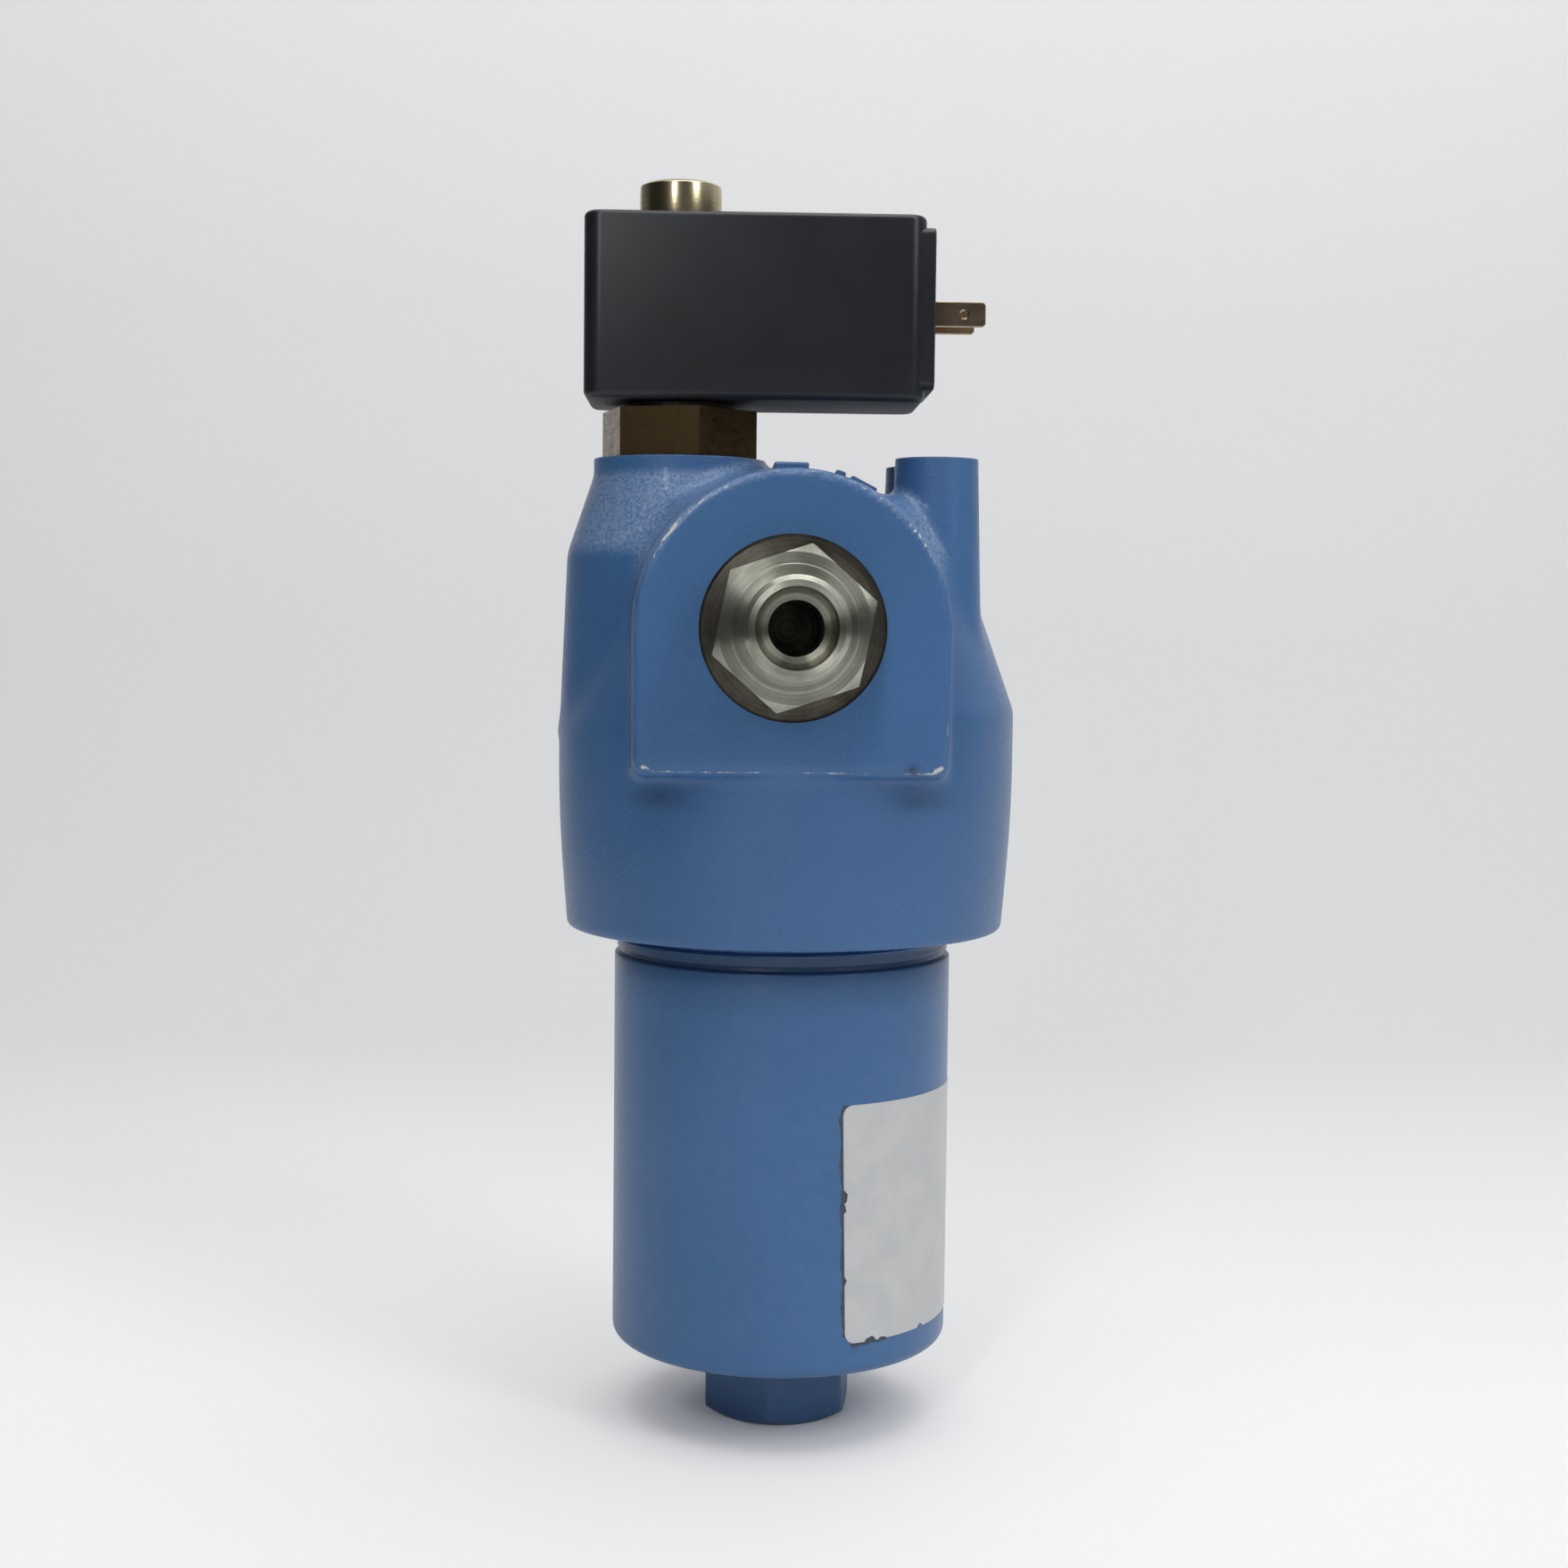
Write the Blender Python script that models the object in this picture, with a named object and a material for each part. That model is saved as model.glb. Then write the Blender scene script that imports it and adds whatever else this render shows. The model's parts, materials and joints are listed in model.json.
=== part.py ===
"""In-line high-pressure oil filter: cast head, screw-in bowl, pleated element, clogging indicator.

Units are metres, +Z is up, and the filter stands on the hexagon foot of its bowl.
The bowl's axis is the Z axis. Oil enters the port that faces -Y and leaves the one that faces +Y.
"""
import math

import bmesh
import bpy
from mathutils import Vector

MM = 0.001
CLEARANCE = 0.3 * MM

# Facets round a turned piece
FINE_FACETS = 36
MEDIUM_FACETS = 24
COARSE_FACETS = 16
ARC_STEPS = 3
SECTION_FACETS = 6
SMOOTH_ANGLE = math.radians(32)
HEX_CHAMFER_ANGLE = math.radians(30)
MERGE_DISTANCE = 0.0001 * MM

# Bowl
FOOT_ACROSS_FLATS = 27 * MM
FOOT_LENGTH = 15 * MM
FOOT_CHAMFER = 1.8 * MM
FOOT_CORNER_ANGLE = math.radians(22.2)
BOWL_DIAMETER = 66 * MM
BOWL_BORE = 51 * MM
BOWL_BODY_LENGTH = 77 * MM
BOWL_FLOOR = 8 * MM
BOWL_EDGE_RADIUS = 6 * MM
BOWL_BORE_RADIUS = 5 * MM
SHOULDER_CHAMFER = 1.4 * MM
THREAD_DIAMETER = 65 * MM
THREAD_SHOWN = 4.3 * MM
THREAD_LENGTH = 20 * MM
PILOT_DIAMETER = 60 * MM
PILOT_LENGTH = 10.5 * MM
PILOT_CHAMFER = 0.8 * MM
SEAL_GROOVE_START = 3.4 * MM
SEAL_GROOVE_WIDTH = 4.7 * MM
SEAL_GROOVE_DEPTH = 2.4 * MM
BACKUP_RING_WIDTH = 1.6 * MM

# Head casting
RIM_DIAMETER = 84.4 * MM
RIM_RADIUS = 1.5 * MM
SKIRT_DIAMETER = 88.8 * MM
SKIRT_TAPER_HEIGHT = 28.7 * MM
CHAMBER_DIAMETER = 56 * MM
CHAMBER_HEIGHT = 7.2 * MM
SHOULDER_RISE = 5.5 * MM
SHOULDER_ANGLE = math.radians(19.6)
CROWN_RADIUS = 8 * MM
PORT_RISE = 21 * MM
BOSS_RISE = 32.4 * MM
CROWN_DROP = 7 * MM

# Ports
PORT_FACE_TO_FACE = 92 * MM
PAD_RADIUS = 28.2 * MM
PAD_DROP = 26.4 * MM
PAD_CORNER_RADIUS = 2.5 * MM
PAD_EDGE = 0.6 * MM
TUNNEL_DRAFT = 2.8 * MM
SPOT_FACE_DIAMETER = 33.3 * MM
SPOT_FACE_DEPTH = 1 * MM
PORT_THREAD_DIAMETER = 21 * MM
PORT_THREAD_DEPTH = 16 * MM
PASSAGE_DIAMETER = 14.4 * MM
DROP_DIAMETER = 13 * MM
DROP_OFFSET = 20 * MM
SPIGOT_DIAMETER = 24 * MM
SPIGOT_BORE = 15 * MM
SPIGOT_LENGTH = 14.7 * MM

# Indicator column and mounting bosses of the head
COLUMN_DIAMETER = 45 * MM
COLUMN_INSET = 0.7 * MM
COLUMN_DRAFT = 0.9 * MM
COLUMN_SLOPE_HEIGHT = 15.6 * MM
INDICATOR_BOSS_DIAMETER = 33 * MM
INDICATOR_BOSS_HEIGHT = 2.6 * MM
MOUNTING_BOSS_DIAMETER = 15.8 * MM
MOUNTING_BOSS_OFFSET = 28.2 * MM
MOUNTING_BOSS_SPACING = 24 * MM
MOUNTING_BOSS_LENGTH = 40 * MM
MOUNTING_BOSS_DRAFT = 1.2 * MM
MOUNTING_HOLE_DIAMETER = 5 * MM
MOUNTING_HOLE_DEPTH = 14 * MM
ARROW_OFFSET = 1.5 * MM
ARROW_LENGTH = 34 * MM
ARROW_HEAD_WIDTH = 7.2 * MM
ARROW_SHAFT_WIDTH = 3.2 * MM
ARROW_HEIGHT = 1.8 * MM

# Tube adapter in the inlet port
ADAPTER_ACROSS_FLATS = 26 * MM
ADAPTER_CORNER_ANGLE = math.radians(16)
ADAPTER_SHANK_LENGTH = 13 * MM
ADAPTER_COLLAR_DIAMETER = 25.4 * MM
ADAPTER_COLLAR_LENGTH = 2.4 * MM
ADAPTER_HEX_LENGTH = 8 * MM
ADAPTER_STEP_DIAMETER = 22 * MM
ADAPTER_STEP_LENGTH = 1 * MM
ADAPTER_RELIEF_DIAMETER = 15.6 * MM
ADAPTER_RELIEF_LENGTH = 2.6 * MM
ADAPTER_THREAD_DIAMETER = 18 * MM
ADAPTER_THREAD_LENGTH = 10 * MM
ADAPTER_END_CHAMFER = 0.9 * MM
ADAPTER_BORE = 9.6 * MM
TUBE_DIAMETER = 12 * MM
TUBE_STOP_DEPTH = 7 * MM
CONE_MOUTH_DIAMETER = 14.1 * MM
CONE_HALF_ANGLE = math.radians(12)
ADAPTER_SEAL_SECTION = 1.7 * MM

# Filter element
CAP_DIAMETER = 43.8 * MM
CAP_THICKNESS = 3 * MM
CAP_RIM_HEIGHT = 4 * MM
CAP_RIM_WALL = 0.7 * MM
COLLAR_DIAMETER = 33 * MM
COLLAR_LENGTH = 10.5 * MM
COLLAR_GROOVE_START = 3.6 * MM
ELEMENT_SEAL_SECTION = 1.8 * MM
STUB_DIAMETER = 16 * MM
STUB_LENGTH = 5.7 * MM
PLEAT_COUNT = 32
PLEAT_DEPTH = 7.6 * MM
PLEAT_THICKNESS = 0.5 * MM
PLEAT_PINCH = 0.125
CORE_GAP = 1 * MM
CORE_WALL = 1.1 * MM
CORE_COLUMNS = 16
CORE_ROWS = 9
CORE_SLOT_PITCH = 4

# Bypass valve in the chamber ceiling
BYPASS_OFFSET = 20 * MM
BYPASS_BORE = 14 * MM
BYPASS_DEPTH = 18 * MM
BYPASS_WINDOW_DIAMETER = 6 * MM
BYPASS_WINDOW_RISE = 12 * MM
RETAINING_RING_THICKNESS = 1 * MM
RETAINING_RING_BITE = 0.7 * MM
RETAINING_RING_WIDTH = 1.9 * MM
SEAT_HEIGHT = 3.4 * MM
SEAT_BORE = 8 * MM
POPPET_DIAMETER = 10.8 * MM
POPPET_THICKNESS = 2 * MM
POPPET_NOSE_LENGTH = 2.2 * MM
POPPET_STEM_DIAMETER = 4 * MM
POPPET_STEM_LENGTH = 4 * MM
BYPASS_COIL_DIAMETER = 7.6 * MM
BYPASS_WIRE = 1 * MM
BYPASS_COILS = 4
CLOSED_COIL_PITCH = 1.05

# Indicator
INDICATOR_ACROSS_FLATS = 27 * MM
INDICATOR_CORNER_ANGLE = math.radians(45)
INDICATOR_HEX_HEIGHT = 9.1 * MM
INDICATOR_HEX_CHAMFER = 1 * MM
SHANK_DIAMETER = 20 * MM
SHANK_LENGTH = 19.4 * MM
NOSE_DIAMETER = 14 * MM
NOSE_LENGTH = 16 * MM
NOSE_SEAL_SECTION = 1.6 * MM
NOSE_GROOVE_START = 1.6 * MM
BOSS_SEAL_SECTION = 2.2 * MM
CLEAN_ANNULUS_DIAMETER = 18 * MM
CLEAN_ANNULUS_HEIGHT = 10 * MM
SUMP_DEPTH = 2 * MM
TAP_DIAMETER = 4 * MM
CLEAN_TAP_RISE = 5 * MM
STEM_DIAMETER = 10 * MM
SPRING_BORE = 7.2 * MM
SPRING_BORE_LENGTH = 28 * MM
MAGNET_BORE = 5.8 * MM
MAGNET_BORE_LENGTH = 34 * MM
CROSS_HOLE_DIAMETER = 2.4 * MM
CROSS_HOLE_RISE = 13 * MM
STOP_RING_HEIGHT = 0.8 * MM
STOP_RING_WALL = 1.3 * MM
PISTON_DIAMETER = 6.6 * MM
PISTON_HEAD_LENGTH = 6 * MM
PISTON_STEM_DIAMETER = 3.2 * MM
PISTON_STEM_LENGTH = 46 * MM
MAGNET_DIAMETER = 4.6 * MM
MAGNET_LENGTH = 8 * MM
MAGNET_COLLAR_LENGTH = 1.2 * MM
INDICATOR_COIL_DIAMETER = 5.5 * MM
INDICATOR_WIRE = 0.7 * MM
INDICATOR_COILS = 6

# Switch housing on the indicator
HOUSING_BACK = 18.65 * MM
HOUSING_FRONT = 47.75 * MM
HOUSING_WIDTH = 28 * MM
HOUSING_HEIGHT = 35.05 * MM
HOUSING_RADIUS = 2.8 * MM
POCKET_WALL = 4 * MM
POCKET_TO_STEM = 3 * MM
GASKET_DIAMETER = 22 * MM
GASKET_THICKNESS = 0.75 * MM
NUT_DIAMETER = 15.2 * MM
NUT_HEIGHT = 6.8 * MM
NUT_CHAMFER = 0.7 * MM
NUT_ROOF = 3.1 * MM
SLOT_WIDTH = 1.6 * MM
SLOT_DEPTH = 1.4 * MM
PLATE_THICKNESS = 1.5 * MM
PLATE_HEIGHT = 30.4 * MM
PLATE_WIDTH = 26.6 * MM
PLATE_RADIUS = 2.5 * MM
PLUG_DEPTH = 7 * MM
BLADE_WIDTH = 4.8 * MM
BLADE_THICKNESS = 0.8 * MM
BLADE_SHOWN = 9 * MM
BLADE_BURIED = 5 * MM
BLADE_TIP = 1 * MM
BLADE_SPACING = 11 * MM
BLADE_HOLE_DIAMETER = 1.4 * MM
BLADE_HOLE_INSET = 4.2 * MM
REED_DIAMETER = 2.8 * MM
REED_LENGTH = 14 * MM
REED_RISE = 6 * MM

# Heights along the bowl's axis, worked out from the sizes above
BOWL_FLOOR_Z = FOOT_LENGTH + BOWL_FLOOR
BOWL_SHOULDER_Z = FOOT_LENGTH + BOWL_BODY_LENGTH
RIM_Z = BOWL_SHOULDER_Z + THREAD_SHOWN
THREAD_TOP_Z = RIM_Z + THREAD_LENGTH
BOWL_TOP_Z = THREAD_TOP_Z + PILOT_LENGTH
CEILING_Z = BOWL_TOP_Z + CHAMBER_HEIGHT
SPIGOT_END_Z = CEILING_Z - SPIGOT_LENGTH
PORT_Z = CEILING_Z + PORT_RISE
BOSS_Z = PORT_Z + BOSS_RISE
HEAD_SHOULDER_Z = CEILING_Z + SHOULDER_RISE
CROWN_Z = BOSS_Z - CROWN_DROP
SPOT_FACE_Y = PORT_FACE_TO_FACE / 2 - SPOT_FACE_DEPTH
INDICATOR_OFFSET = (SKIRT_DIAMETER - COLUMN_DIAMETER) / 2 - COLUMN_INSET

INDICATOR_HEX_Z = BOSS_Z + CLEARANCE
INDICATOR_HEX_TOP_Z = INDICATOR_HEX_Z + INDICATOR_HEX_HEIGHT
SHANK_END_Z = BOSS_Z - SHANK_LENGTH
NOSE_END_Z = SHANK_END_Z - NOSE_LENGTH
SPRING_BORE_TOP_Z = NOSE_END_Z + SPRING_BORE_LENGTH
PISTON_Z = NOSE_END_Z + STOP_RING_HEIGHT + 2 * CLEARANCE
PISTON_HEAD_TOP_Z = PISTON_Z + PISTON_HEAD_LENGTH
PISTON_TOP_Z = PISTON_HEAD_TOP_Z + PISTON_STEM_LENGTH
MAGNET_Z = PISTON_TOP_Z - MAGNET_LENGTH
LOWER_GASKET_Z = INDICATOR_HEX_TOP_Z + CLEARANCE
HOUSING_Z = LOWER_GASKET_Z + GASKET_THICKNESS + CLEARANCE
HOUSING_TOP_Z = HOUSING_Z + HOUSING_HEIGHT
UPPER_GASKET_Z = HOUSING_TOP_Z - GASKET_THICKNESS
NUT_Z = HOUSING_TOP_Z + CLEARANCE
STEM_TOP_Z = NUT_Z + NUT_HEIGHT - NUT_ROOF - CLEARANCE
BLADE_Z = HOUSING_Z + HOUSING_HEIGHT / 2

TOP_CAP_Z = SPIGOT_END_Z - CLEARANCE
BOTTOM_CAP_Z = BOWL_FLOOR_Z + CLEARANCE + STUB_LENGTH
MEDIUM_BOTTOM_Z = BOTTOM_CAP_Z + CAP_THICKNESS + CLEARANCE
MEDIUM_TOP_Z = TOP_CAP_Z - CAP_THICKNESS - CLEARANCE
PLEAT_OUTER_RADIUS = CAP_DIAMETER / 2 - CAP_RIM_WALL - CLEARANCE
PLEAT_INNER_RADIUS = PLEAT_OUTER_RADIUS - PLEAT_DEPTH
CORE_RADIUS = PLEAT_INNER_RADIUS - CORE_GAP

BYPASS_SEAT_Z = CEILING_Z + RETAINING_RING_THICKNESS + 3 * CLEARANCE
POPPET_Z = BYPASS_SEAT_Z + SEAT_HEIGHT + CLEARANCE
BYPASS_SPRING_Z = POPPET_Z + POPPET_THICKNESS + CLEARANCE
BYPASS_TOP_Z = CEILING_Z + BYPASS_DEPTH

HOUSING_END_X = HOUSING_FRONT - INDICATOR_OFFSET
PLATE_X = HOUSING_END_X + CLEARANCE
BLADE_PLACES = (("contact_blade_front", -BLADE_SPACING / 2), ("contact_blade_rear", BLADE_SPACING / 2))

ALONG_MINUS_Y = (math.pi / 2, 0, 0)
ALONG_PLUS_Y = (-math.pi / 2, 0, 0)
ALONG_PLUS_X = (0, math.pi / 2, 0)


def make_material(name, colour, roughness, metallic):
    """Principled material from an sRGB hex colour."""
    linear = []
    for start in (1, 3, 5):
        value = int(colour[start:start + 2], 16) / 255
        linear.append(value / 12.92 if value <= 0.04045 else ((value + 0.055) / 1.055) ** 2.4)
    material = bpy.data.materials.new(name)
    material.use_nodes = True
    shader = material.node_tree.nodes["Principled BSDF"]
    shader.inputs["Base Color"].default_value = (*linear, 1)
    shader.inputs["Roughness"].default_value = roughness
    shader.inputs["Metallic"].default_value = metallic
    return material


def arc(centre, radius, start, end, steps=ARC_STEPS):
    """Points of an arc in a plane, from start to end in degrees."""
    points = []
    for step in range(steps + 1):
        angle = math.radians(start + (end - start) * step / steps)
        points.append((centre[0] + radius * math.cos(angle), centre[1] + radius * math.sin(angle)))
    return points


def add_object(name, bm, location=(0, 0, 0), rotation=(0, 0, 0)):
    """Turn a bmesh into an object with outward faces and smooth round sides."""
    bmesh.ops.recalc_face_normals(bm, faces=bm.faces)
    mesh = bpy.data.meshes.new(name)
    bm.to_mesh(mesh)
    bm.free()
    mesh.shade_smooth()
    mesh.set_sharp_from_angle(angle=SMOOTH_ANGLE)
    thing = bpy.data.objects.new(name, mesh)
    thing.location = location
    thing.rotation_euler = rotation
    bpy.context.collection.objects.link(thing)
    return thing


def turned(name, profile, facets, **place):
    """Solid of revolution about local Z from (radius, height) points."""
    bm = bmesh.new()
    ring = [bm.verts.new((radius, 0, height)) for radius, height in profile]
    edges = [bm.edges.new(pair) for pair in zip(ring, ring[1:])]
    on_axis = profile[0][0] == 0 and profile[-1][0] == 0
    if not on_axis:
        edges.append(bm.edges.new((ring[-1], ring[0])))
    bmesh.ops.spin(bm, geom=ring + edges, axis=(0, 0, 1), cent=(0, 0, 0), steps=facets,
                   angle=2 * math.pi, use_merge=True)
    bmesh.ops.remove_doubles(bm, verts=bm.verts, dist=MERGE_DISTANCE)
    bmesh.ops.dissolve_degenerate(bm, edges=bm.edges, dist=MERGE_DISTANCE)
    return add_object(name, bm, **place)


def lofted(name, sections, **place):
    """Closed solid through outlines with equal point counts: [(height, [(x, y), ...]), ...]."""
    bm = bmesh.new()
    loops = []
    for height, outline in sections:
        loops.append([bm.verts.new((x, y, height)) for x, y in outline])
    for lower, upper in zip(loops, loops[1:]):
        count = len(lower)
        for index in range(count):
            after = (index + 1) % count
            bm.faces.new((lower[index], lower[after], upper[after], upper[index]))
    bm.faces.new(loops[0])
    bm.faces.new(loops[-1])
    return add_object(name, bm, **place)


def cylinder(name, radius, bottom, top, facets=COARSE_FACETS, **place):
    """Plain round bar, used as a drill."""
    return turned(name, [(0, bottom), (radius, bottom), (radius, top), (0, top)], facets, **place)


def washer(inner, outer, bottom, top):
    """Profile of a flat ring."""
    return [(inner, bottom), (outer, bottom), (outer, top), (inner, top)]


def torus(name, ring_radius, section, height, facets=MEDIUM_FACETS, **place):
    """O-ring."""
    profile = arc((ring_radius, height), section / 2, 0, 360, SECTION_FACETS)[:-1]
    return turned(name, profile, facets, **place)


def hexagon(across_flats, corner_angle):
    """Outline of a hexagon with its first corner at an angle."""
    radius = across_flats / math.sqrt(3)
    points = []
    for corner in range(6):
        angle = corner_angle + corner * math.pi / 3
        points.append((radius * math.cos(angle), radius * math.sin(angle)))
    return points


def rounded_rectangle(width, height, radius):
    """Outline centred on the origin."""
    across = width / 2 - radius
    along = height / 2 - radius
    points = arc((across, along), radius, 0, 90)
    points += arc((-across, along), radius, 90, 180)
    points += arc((-across, -along), radius, 180, 270)
    points += arc((across, -along), radius, 270, 360)
    return points


def combine(target, tool, operation):
    """Apply one solid to another with a Boolean, and keep the tool as a hidden guide."""
    tool.hide_render = True
    tool.display_type = "WIRE"
    modifier = target.modifiers.new(tool.name, "BOOLEAN")
    modifier.operation = operation
    modifier.object = tool
    modifier.solver = "EXACT"


def chamfered_hexagon(name, across_flats, corner_angle, bottom, top, bottom_chamfer, top_chamfer, **place):
    """Hexagon bar whose ends are turned off at 30 degrees."""
    bar = lofted(name, [(bottom, hexagon(across_flats, corner_angle)),
                        (top, hexagon(across_flats, corner_angle))], **place)
    corner = across_flats / math.sqrt(3) + CLEARANCE
    rise = math.tan(HEX_CHAMFER_ANGLE)
    profile = [(0, bottom), (corner - bottom_chamfer / rise, bottom), (corner, bottom + bottom_chamfer),
               (corner, top - top_chamfer), (corner - top_chamfer / rise, top), (0, top)]
    combine(bar, turned(name + "_turning", profile, MEDIUM_FACETS, **place), "INTERSECT")
    return bar


def coil(name, ring_radius, wire, bottom, top, turns, **place):
    """Compression spring with closed ends, swept along a helix."""
    steps_per_turn = 9
    sides = 4
    closed_turns = 1
    stack = wire * CLOSED_COIL_PITCH
    total = turns + 2 * closed_turns
    low = bottom + wire / 2
    high = top - wire / 2
    bm = bmesh.new()
    loops = []
    for step in range(total * steps_per_turn + 1):
        turn = step / steps_per_turn
        angle = turn * 2 * math.pi
        live = min(max(turn - closed_turns, 0), turns) / turns
        dead = min(turn, closed_turns) + max(turn - closed_turns - turns, 0)
        height = low + dead * stack + live * (high - low - 2 * closed_turns * stack)
        outward = Vector((math.cos(angle), math.sin(angle), 0))
        loop = []
        for side in range(sides):
            lean = side * 2 * math.pi / sides
            offset = outward * math.cos(lean) + Vector((0, 0, 1)) * math.sin(lean)
            loop.append(bm.verts.new(outward * ring_radius + Vector((0, 0, height)) + offset * wire / 2))
        loops.append(loop)
    for first, second in zip(loops, loops[1:]):
        for side in range(sides):
            after = (side + 1) % sides
            bm.faces.new((first[side], first[after], second[after], second[side]))
    bm.faces.new(loops[0])
    bm.faces.new(loops[-1])
    return add_object(name, bm, **place)


def skirt_profile():
    """Outside of the round body of the head, from the rim to the crown."""
    rim = RIM_DIAMETER / 2
    skirt = SKIRT_DIAMETER / 2
    crown = skirt - (CROWN_Z - HEAD_SHOULDER_Z) * math.tan(SHOULDER_ANGLE)
    profile = [(0, RIM_Z)]
    profile += arc((rim - RIM_RADIUS, RIM_Z + RIM_RADIUS), RIM_RADIUS, -90, 0)
    profile += [(skirt, RIM_Z + SKIRT_TAPER_HEIGHT), (skirt, HEAD_SHOULDER_Z)]
    crown_centre = (crown - CROWN_RADIUS, CROWN_Z - CROWN_RADIUS)
    profile += arc(crown_centre, CROWN_RADIUS, math.degrees(SHOULDER_ANGLE), 90)
    profile += [(0, CROWN_Z)]
    return profile


def arch(radius, drop, corner):
    """Port pad outline: half round on two legs, flat below, with rounded lower corners."""
    points = arc((0, 0), radius, 0, 180, FINE_FACETS // 2)
    points += arc((-radius + corner, -drop + corner), corner, 180, 270)
    points += arc((radius - corner, -drop + corner), corner, 270, 360)
    return points


def port_tunnel():
    """Barrel of the two ports, widest at the parting plane in the middle."""
    half = PORT_FACE_TO_FACE / 2
    sections = []
    for height, grow in ((-half, -PAD_EDGE), (-half + PAD_EDGE, 0), (0, TUNNEL_DRAFT),
                         (half - PAD_EDGE, 0), (half, -PAD_EDGE)):
        sections.append((height, arch(PAD_RADIUS + grow, PAD_DROP + grow, PAD_CORNER_RADIUS)))
    return lofted("port_tunnel", sections, location=(0, 0, PORT_Z), rotation=ALONG_MINUS_Y)


def indicator_column():
    """Thick column on the left that takes the indicator, sloping in to its spot-faced boss."""
    base = COLUMN_DIAMETER / 2
    slope_top = BOSS_Z - INDICATOR_BOSS_HEIGHT
    boss = INDICATOR_BOSS_DIAMETER / 2
    profile = [(0, CEILING_Z), (base, CEILING_Z),
               (base - COLUMN_DRAFT, slope_top - COLUMN_SLOPE_HEIGHT),
               (boss, slope_top), (boss, BOSS_Z), (0, BOSS_Z)]
    return turned("indicator_column", profile, FINE_FACETS, location=(-INDICATOR_OFFSET, 0, 0))


def mounting_boss_places():
    """Centres of the two bosses in plan."""
    return [(MOUNTING_BOSS_OFFSET, side * MOUNTING_BOSS_SPACING / 2, 0) for side in (-1, 1)]


def mounting_boss(place):
    top = MOUNTING_BOSS_DIAMETER / 2
    foot = top + MOUNTING_BOSS_DRAFT
    bottom = BOSS_Z - MOUNTING_BOSS_LENGTH
    return turned("mounting_boss", [(0, bottom), (foot, bottom), (top, BOSS_Z), (0, BOSS_Z)],
                  MEDIUM_FACETS, location=place)


def flow_arrow():
    """Raised arrow on the crown that points from inlet to outlet."""
    half = ARROW_LENGTH / 2
    head = ARROW_HEAD_WIDTH / 2
    shaft = ARROW_SHAFT_WIDTH / 2
    neck = half - ARROW_HEAD_WIDTH
    outline = [(-shaft, -half), (shaft, -half), (shaft, neck), (head, neck), (0, half), (-head, neck),
               (-shaft, neck)]
    crown = PORT_Z + PAD_RADIUS + TUNNEL_DRAFT
    return lofted("flow_arrow", [(crown - 2 * ARROW_HEIGHT, outline), (crown + ARROW_HEIGHT, outline)],
                  location=(ARROW_OFFSET, 0, 0))


def bowl_cavity():
    """Thread bore, seal bore and chamber in the underside of the head, round the spigot."""
    thread = THREAD_DIAMETER / 2 + CLEARANCE
    pilot = PILOT_DIAMETER / 2 + CLEARANCE
    below = RIM_Z - RIM_RADIUS
    profile = [(0, below), (thread, below), (thread, THREAD_TOP_Z), (pilot, THREAD_TOP_Z),
               (pilot, BOWL_TOP_Z + CLEARANCE), (CHAMBER_DIAMETER / 2, BOWL_TOP_Z + CLEARANCE),
               (CHAMBER_DIAMETER / 2, CEILING_Z), (SPIGOT_DIAMETER / 2, CEILING_Z),
               (SPIGOT_DIAMETER / 2, SPIGOT_END_Z), (0, SPIGOT_END_Z)]
    return turned("bowl_cavity", profile, FINE_FACETS)


def port_drilling(name, side_rotation, reach):
    """Spot face, threaded mouth and passage of one port, cut along the port axis."""
    face = PORT_FACE_TO_FACE / 2
    floor = SPOT_FACE_Y
    thread_end = floor - PORT_THREAD_DEPTH
    thread = PORT_THREAD_DIAMETER / 2
    passage = PASSAGE_DIAMETER / 2
    spot = SPOT_FACE_DIAMETER / 2
    profile = [(0, reach), (passage, reach), (passage, thread_end), (thread, thread_end), (thread, floor),
               (spot, floor), (spot, face + SPOT_FACE_DEPTH), (0, face + SPOT_FACE_DEPTH)]
    return turned(name, profile, MEDIUM_FACETS, location=(0, 0, PORT_Z), rotation=side_rotation)


def indicator_drilling():
    """Threaded bore of the indicator with the clean-side annulus, nose bore and dirty-side tap."""
    shank = SHANK_DIAMETER / 2 + CLEARANCE
    nose = NOSE_DIAMETER / 2 + CLEARANCE
    annulus = CLEAN_ANNULUS_DIAMETER / 2
    annulus_bottom = SHANK_END_Z - CLEAN_ANNULUS_HEIGHT
    sump = NOSE_END_Z - SUMP_DEPTH
    tap = TAP_DIAMETER / 2
    seal_pocket = shank + BOSS_SEAL_SECTION
    mouth_bottom = BOSS_Z - BOSS_SEAL_SECTION
    profile = [(0, CEILING_Z - SUMP_DEPTH), (tap, CEILING_Z - SUMP_DEPTH), (tap, sump), (nose, sump),
               (nose, annulus_bottom), (annulus, annulus_bottom), (annulus, SHANK_END_Z - CLEARANCE),
               (shank, SHANK_END_Z - CLEARANCE), (shank, mouth_bottom), (seal_pocket, mouth_bottom),
               (seal_pocket, BOSS_Z + SUMP_DEPTH), (0, BOSS_Z + SUMP_DEPTH)]
    return turned("indicator_drilling", profile, MEDIUM_FACETS, location=(-INDICATOR_OFFSET, 0, 0))


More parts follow.
